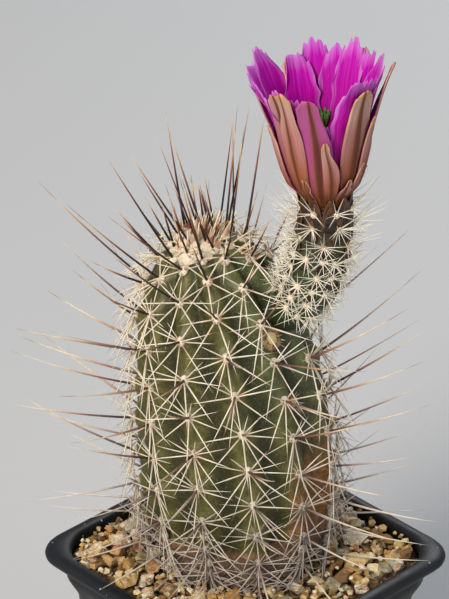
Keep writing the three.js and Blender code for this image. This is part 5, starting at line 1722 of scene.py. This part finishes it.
def settle(count, low, high, seed, allowed):
    """Drops chips with radii from low to high. allowed is how high their tops may come."""
    rng = np.random.default_rng(seed)
    dropped = []
    under = np.array(settled)
    large = under[:STONE_COUNT]
    rows = np.empty((len(under) + count, 5))
    rows[: len(under)] = under
    filled = len(under)
    for _ in range(12 * count):
        if filled == len(rows):
            break
        r = rng.uniform(low, high)
        x, y = rng.uniform(-1, 1, 2) * (bed_half - r)
        corner = math.hypot(max(abs(x) - SMALL_CORNER_MIDDLE, 0), max(abs(y) - SMALL_CORNER_MIDDLE, 0))
        if corner > SMALL_CORNER_ROOM - r:
            continue
        from_stem = math.hypot(x - stem_foot[0], y - stem_foot[1])
        on_large = np.hypot(large[:, 0] - x, large[:, 1] - y) < 0.62 * large[:, 3] + 0.25 * r
        if from_stem < outline_at(soil_line_at)[0] + 0.4 + r or on_large.any():
            continue
        away = np.hypot(rows[:filled, 0] - x, rows[:filled, 1] - y) / (rows[:filled, 3] + 0.55 * r)
        over = rows[:filled, 2] + rows[:filled, 4] * np.sqrt(np.clip(1 - away**2, 0, 1))
        ground = max(BED_TOP - 0.3 + heap(x, y), over[away < 1].max(initial=0.0))
        z = ground + 0.35 * r
        if z + 0.8 * r > allowed + heap(x, y):
            continue
        rows[filled] = (x, y, z, r, 0.62 * r)
        filled += 1
        dropped.append((x, y, z, r))
    settled[:] = [tuple(row) for row in rows[:filled]]
    return dropped


middling = settle(360, 2.6, 5.4, 61, 80.0)
small = settle(500, 0.8, 1.9, 62, 79.0)
print(len(middling), "middling and", len(small), "small chips settled")

# %% Geometry Nodes: scattered chips
PATTERN_COUNT = 14
HULL_POINTS = 15
patterns = bpy.data.collections.new("chip_patterns")
rng = np.random.default_rng(17)
for k in range(PATTERN_COUNT):
    hull = bmesh.new()
    ball_points = unit(rng.normal(size=(HULL_POINTS, 3))) * rng.uniform(0.75, 1.1, (HULL_POINTS, 1))
    for point in ball_points * np.array([1.0, rng.uniform(0.65, 0.95), 0.66]):
        hull.verts.new(point)
    made = bmesh.ops.convex_hull(hull, input=hull.verts[:])
    within = [v for v in made["geom_interior"] if isinstance(v, bmesh.types.BMVert)]
    bmesh.ops.delete(hull, geom=within, context="VERTS")
    bmesh.ops.recalc_face_normals(hull, faces=hull.faces[:])
    pattern_mesh = bpy.data.meshes.new(f"chip_pattern_{k}")
    hull.to_mesh(pattern_mesh)
    hull.free()
    patterns.objects.link(bpy.data.objects.new(f"chip_pattern_{k}", pattern_mesh))

scatter, given, result = start_tree(
    "scattered_chips", Patterns=("Collection", None), Seed=("Int", 3), Most_Tilt=("Float", 0.5),
    Material=("Material", None),
)
picked = node(
    scatter, "GeometryNodeCollectionInfo",
    {"Collection": given["Patterns"], "Separate Children": True, "Reset Children": True},
)
pattern = node(scatter, "GeometryNodeInputNamedAttribute", {"Name": "pattern"}, data_type="INT")
chip_size = node(scatter, "GeometryNodeInputNamedAttribute", {"Name": "size"})
lowest_tilt = node(scatter, "Math", {0: given["Most Tilt"], 1: -1.0}, operation="MULTIPLY")
low_turns = node(scatter, "CombineXYZ", {0: lowest_tilt, 1: lowest_tilt, 2: 0.0})
high_turns = node(scatter, "CombineXYZ", {0: given["Most Tilt"], 1: given["Most Tilt"], 2: TURN})
chip_turn = node(
    scatter, "FunctionNodeRandomValue", {0: low_turns, 1: high_turns, "Seed": given["Seed"]},
    data_type="FLOAT_VECTOR",
)
chips_made = node(
    scatter, "GeometryNodeInstanceOnPoints",
    {
        "Points": given["Geometry"], "Instance": picked, "Pick Instance": True, "Rotation": chip_turn,
        "Instance Index": pattern, "Scale": chip_size,
    },
)
real = node(scatter, "GeometryNodeRealizeInstances", {0: chips_made})
clad = node(scatter, "GeometryNodeSetMaterial", {"Geometry": real, "Material": given["Material"]})
feed(result, {"Geometry": clad})

# %% [markdown]
# ### Crushed stone
#
# The chips come from a mixed, iron-stained rock, so most are ochre and tan, some rust red, some cream
# quartz and some olive grey. Each chip has one tone, which its points carry, and patches of another over
# it. Broken stone is quite matt, and a fine grain of painted shade darkens its pits, with a painted
# highlight on its high points.

# %% Material: crushed ochre stone
crushed, tree, shader, in_mm, tone = surface("crushed_ochre_stone", "tone")
patches = node(tree, "TexNoise", {"Vector": in_mm, "Scale": 1 / 2.2, "Detail": 4, "Roughness": 0.65})
varied = node(tree, "Math", {0: patches, 1: 0.24, 2: tone}, operation="MULTIPLY_ADD")
varied = node(tree, "Math", {0: varied, 1: 0.12}, operation="SUBTRACT", use_clamp=True)
rock = node(
    tree, "ValToRGB", {0: varied},
    [
        (0.0, "#785c36"), (0.1, "#ac8244"), (0.2, "#e8c47e"), (0.32, "#fcecc0"), (0.44, "#cc9852"),
        (0.54, "#fff4d8"), (0.64, "#9c6e3a"), (0.72, "#f2d8a0"), (0.8, "#b06a30"), (0.87, "#fff6e0"),
        (0.94, "#a29876"), (1.0, "#70603f"),
    ],
)
grit = node(tree, "TexNoise", {"Vector": in_mm, "Scale": 1 / 0.45, "Detail": 4, "Roughness": 0.7})
# painted shade and painted highlight: the fine grit, which also makes the bumps, darkens the pits and
# lightens the high points
shadowed = node(tree, "MapRange", {0: grit, 1: 0.3, 2: 0.7, 3: 0.66, 4: 1.2})
rock_colour = node(tree, "HueSaturation", {"Value": shadowed, "Color": rock})
coarse = node(tree, "Math", {0: patches, 1: 1.5, 2: grit}, operation="MULTIPLY_ADD")
pitted = node(tree, "Bump", {"Height": coarse, "Strength": 1.0, "Distance": 0.5 * MM})
feed(shader, {"Base Color": rock_colour, "Roughness": 0.9, "Normal": pitted})

rng = np.random.default_rng(71)
small_rows = [
    {"at": (x, y, z), "size": r * MM, "pattern": float(rng.integers(PATTERN_COUNT)), "tone": rng.uniform()}
    for x, y, z, r in middling + small
]
plant("small_chips", small_rows, scatter, "gravel", "gravel", Patterns=patterns, Material=crushed)
finish(gathered("large_chips", chip_parts, smooth=False), crushed, "gravel")

# %% The bed under the chips
bed_rows = 26
outer = inside_ring(BED_TOP, GAP, steps=8, along=20)
bearings = np.arctan2(outer[:, 1] - stem_foot[1], outer[:, 0] - stem_foot[0])
hole_radius = outline_at(soil_line_at)[0] + 1.4
hole_x, hole_y = stem_foot[0] + hole_radius * np.cos(bearings), stem_foot[1] + hole_radius * np.sin(bearings)
inner = np.stack([hole_x, hole_y, np.full(len(bearings), BED_TOP)], axis=1)
part = np.linspace(0, 1, bed_rows)[:, None, None]
bed_points = outer[None] * (1 - part) + inner[None] * part
rng = np.random.default_rng(8)
bed_points[..., 2] += heap(bed_points[..., 0], bed_points[..., 1]) - 0.35
bed_points[..., 2] += rng.uniform(-0.22, 0.22, bed_points.shape[:2])
foot_ring, foot_hole = outer.copy(), inner.copy()
foot_ring[:, 2] = foot_hole[:, 2] = SOIL_TOP + GAP
bed_all = np.concatenate([foot_ring[None], bed_points, foot_hole[None], foot_ring[None]])
bed_faces = grid_faces(bed_rows + 2, len(outer))
last = (bed_rows + 1) * len(outer)
for i in range(len(outer)):
    j = (i + 1) % len(outer)
    bed_faces.append((last + i, last + j, j, i))
bed = mesh_object("gravel_bed", bed_all[:-1].reshape(-1, 3), bed_faces, smooth=False)

# %% Material: coarse sand
sand, tree, shader, in_mm = surface("coarse_sand")
grains = node(tree, "TexVoronoi", {"Vector": in_mm, "Scale": 1 / 0.8}, feature="F1")
grain_tone = node(tree, "SeparateColor", {0: grains.outputs["Color"]})
sandy = node(
    tree, "ValToRGB", {0: grain_tone},
    [(0.0, "#1e170e"), (0.4, "#40301c"), (0.75, "#6a5130"), (1.0, "#8c7246")],
)
rounded = node(tree, "Bump", {"Height": grains, "Strength": 1.0, "Distance": 0.4 * MM}, invert=True)
feed(shader, {"Base Color": sandy, "Roughness": 0.95, "Normal": rounded})
finish(bed, sand, "gravel")

# %% [markdown]
# ## Potting mix
#
# Below the grit the pot is full of a dark gritty compost. Only its underside shows, through the drain
# holes, so the solid stays as it is and only gets its material: fine brown bark and peat with pale grains
# of pumice.

# %% Material: gritty compost
compost, tree, shader, in_mm = surface("gritty_compost")
crumbs = node(tree, "TexNoise", {"Vector": in_mm, "Scale": 1 / 1.6, "Detail": 5, "Roughness": 0.7})
peat = node(tree, "ValToRGB", {0: crumbs}, [(0.3, "#241810"), (0.7, "#5a4230")])
pumice = node(tree, "TexVoronoi", {"Vector": in_mm, "Scale": 1 / 3.5})
grain = node(tree, "MapRange", {0: pumice, 1: 0.16, 2: 0.22, 3: 1.0, 4: 0.0})
compost_colour = node(tree, "Mix", {0: grain, 6: peat, 7: "#cfc6b2"}, data_type="RGBA")
crumbly = node(tree, "Bump", {"Height": crumbs, "Strength": 0.9, "Distance": 0.8 * MM})
feed(shader, {"Base Color": compost_colour, "Roughness": 0.95, "Normal": crumbly})
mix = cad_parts["potting_mix"]
mix.data.materials.clear()
mix.data.materials.append(compost)

# %% [markdown]
# ## The pot
#
# A nursery pot is blown or pressed from thin black plastic: four slightly sloping walls with rounded
# corners, a shoulder, an upright collar above it, and a thin rolled lip that stands out and stiffens the
# mouth. Its edges are all a little round, which shows as thin highlights. Rings of points up the outside,
# over the lip and down the inside make it, and four drain holes are cut through the base.

# %% The pot's rings
# half width, radius of the corners, and height
POT_RINGS = [
    (32.2, 8.8, 0.0), (32.75, 8.95, 0.15), (33.0, 9.0, 0.6), (34.65, 9.3, 20), (36.3, 9.6, 40),
    (38.1, 9.95, 62.5), (38.3, 10.0, 64.3), (38.65, 10.1, 65.6), (40.35, 10.4, 69.4), (40.7, 10.5, 70.4),
    (40.78, 10.5, 71.5), (40.8, 10.5, 76.0), (41.0, 10.5, 76.45), (41.6, 10.5, 76.6), (43.9, 10.3, 76.6),
    (44.5, 10.2, 76.8), (44.9, 10.05, 77.3), (45.0, 10.0, 77.9), (44.85, 10.05, 78.5),
    (44.3, 10.25, 79.2), (43.5, 10.55, 79.7), (42.6, 10.95, 79.95), (41.7, 11.4, 80.0),
    (40.9, 11.8, 79.85), (40.4, 12.1, 79.5), (40.15, 12.25, 78.9), (39.9, 12.0, 77.8),
]
pot_rings = [rounded_square(*row, steps=12, along=1) for row in POT_RINGS]
pot_rings += [inside_ring(z, steps=12, along=1) for z in (76.6, 70.4, 64.5, 30.0, 2.2)]
floor_half = np.interp(1.7, POT_WALLS[:, 2], POT_WALLS[:, 0]) - WALL - 0.5
pot_rings.append(rounded_square(floor_half, 8.0, 1.6, steps=12, along=1))
columns = len(pot_rings[0])
pot_faces = grid_faces(len(pot_rings), columns)
pot_faces.append(tuple(reversed(range(columns))))
pot_faces.append(tuple(range((len(pot_rings) - 1) * columns, len(pot_rings) * columns)))
pot = mesh_object("moulded_pot", np.concatenate(pot_rings), pot_faces)

DRAIN_RADIUS = 4 * MM
DRAIN_OFFSET = 19
DRAIN_DEPTH = 6 * MM
BASE_MIDDLE = 0.8
drains = bmesh.new()
for sx in (-1, 1):
    for sy in (-1, 1):
        at = Vector((sx * DRAIN_OFFSET, sy * DRAIN_OFFSET, BASE_MIDDLE)) * MM
        ring = bmesh.ops.create_cone(
            drains, cap_ends=True, segments=32, radius1=DRAIN_RADIUS, radius2=DRAIN_RADIUS, depth=DRAIN_DEPTH,
        )["verts"]
        bmesh.ops.translate(drains, verts=ring, vec=at)
drain_mesh = bpy.data.meshes.new("drain_cutter")
drains.to_mesh(drain_mesh)
drains.free()
cutter = bpy.data.objects.new("drain_cutter", drain_mesh)
bpy.context.scene.collection.objects.link(cutter)
drilling = pot.modifiers.new("drain holes", "BOOLEAN")
drilling.operation, drilling.solver, drilling.object = "DIFFERENCE", "EXACT", cutter
graph = bpy.context.evaluated_depsgraph_get()
drilled = bpy.data.meshes.new_from_object(pot.evaluated_get(graph), depsgraph=graph)
pot.modifiers.remove(drilling)
pot.data = drilled
bpy.data.objects.remove(cutter)
for face in pot.data.polygons:
    face.use_smooth = abs(face.normal.z) < 0.999 or face.center.z > 70 * MM

# %% [markdown]
# ### Black plastic
#
# Thin polypropylene, coloured nearly black, with a satin skin from the mould. Its convex edges are painted
# a paler bluish grey, as a painted highlight, and grit dust and dried water leave small white specks. The
# finest specks would be a tenth of a millimetre, too small to show, so they are drawn at about half a
# millimetre.

# %% Material: black nursery plastic
plastic, tree, shader, in_mm = surface("black_nursery_plastic")
cloud = node(tree, "TexNoise", {"Vector": in_mm, "Scale": 1 / 14, "Detail": 4})
black = node(tree, "ValToRGB", {0: cloud}, [(0.3, "#0a0c0f"), (0.7, "#12151a")])
specks = node(tree, "TexVoronoi", {"Vector": in_mm, "Scale": 1 / 2.6})
speck_size = node(tree, "SeparateColor", {0: specks.outputs["Color"]}).outputs[1]
speck_reach = node(tree, "MapRange", {0: speck_size, 1: 0.55, 2: 1.0, 3: 0.0, 4: 0.13})
speck = node(tree, "Math", {0: specks, 1: speck_reach}, operation="LESS_THAN")
# painted highlight: convex edges, found by pointiness, are painted a paler bluish grey
edges = node(tree, "NewGeometry").outputs["Pointiness"]
edge_highlight = node(tree, "MapRange", {0: edges, 1: 0.51, 2: 0.56, 3: 0.0, 4: 0.3})
edge_highlighted = node(tree, "Mix", {0: edge_highlight, 6: black, 7: "#363c46"}, data_type="RGBA")
dusty = node(tree, "Mix", {0: speck, 6: edge_highlighted, 7: "#9a9d9f"}, data_type="RGBA")
satin = node(tree, "MapRange", {0: cloud, 1: 0.3, 2: 0.7, 3: 0.42, 4: 0.6})
mould = node(tree, "TexNoise", {"Vector": in_mm, "Scale": 1 / 0.9, "Detail": 3})
grained = node(tree, "Bump", {"Height": mould, "Strength": 0.12, "Distance": 0.2 * MM})
feed(shader, {"Base Color": dusty, "Roughness": satin, "Specular IOR Level": 0.38, "Normal": grained})
finish(pot, plastic, "pot")
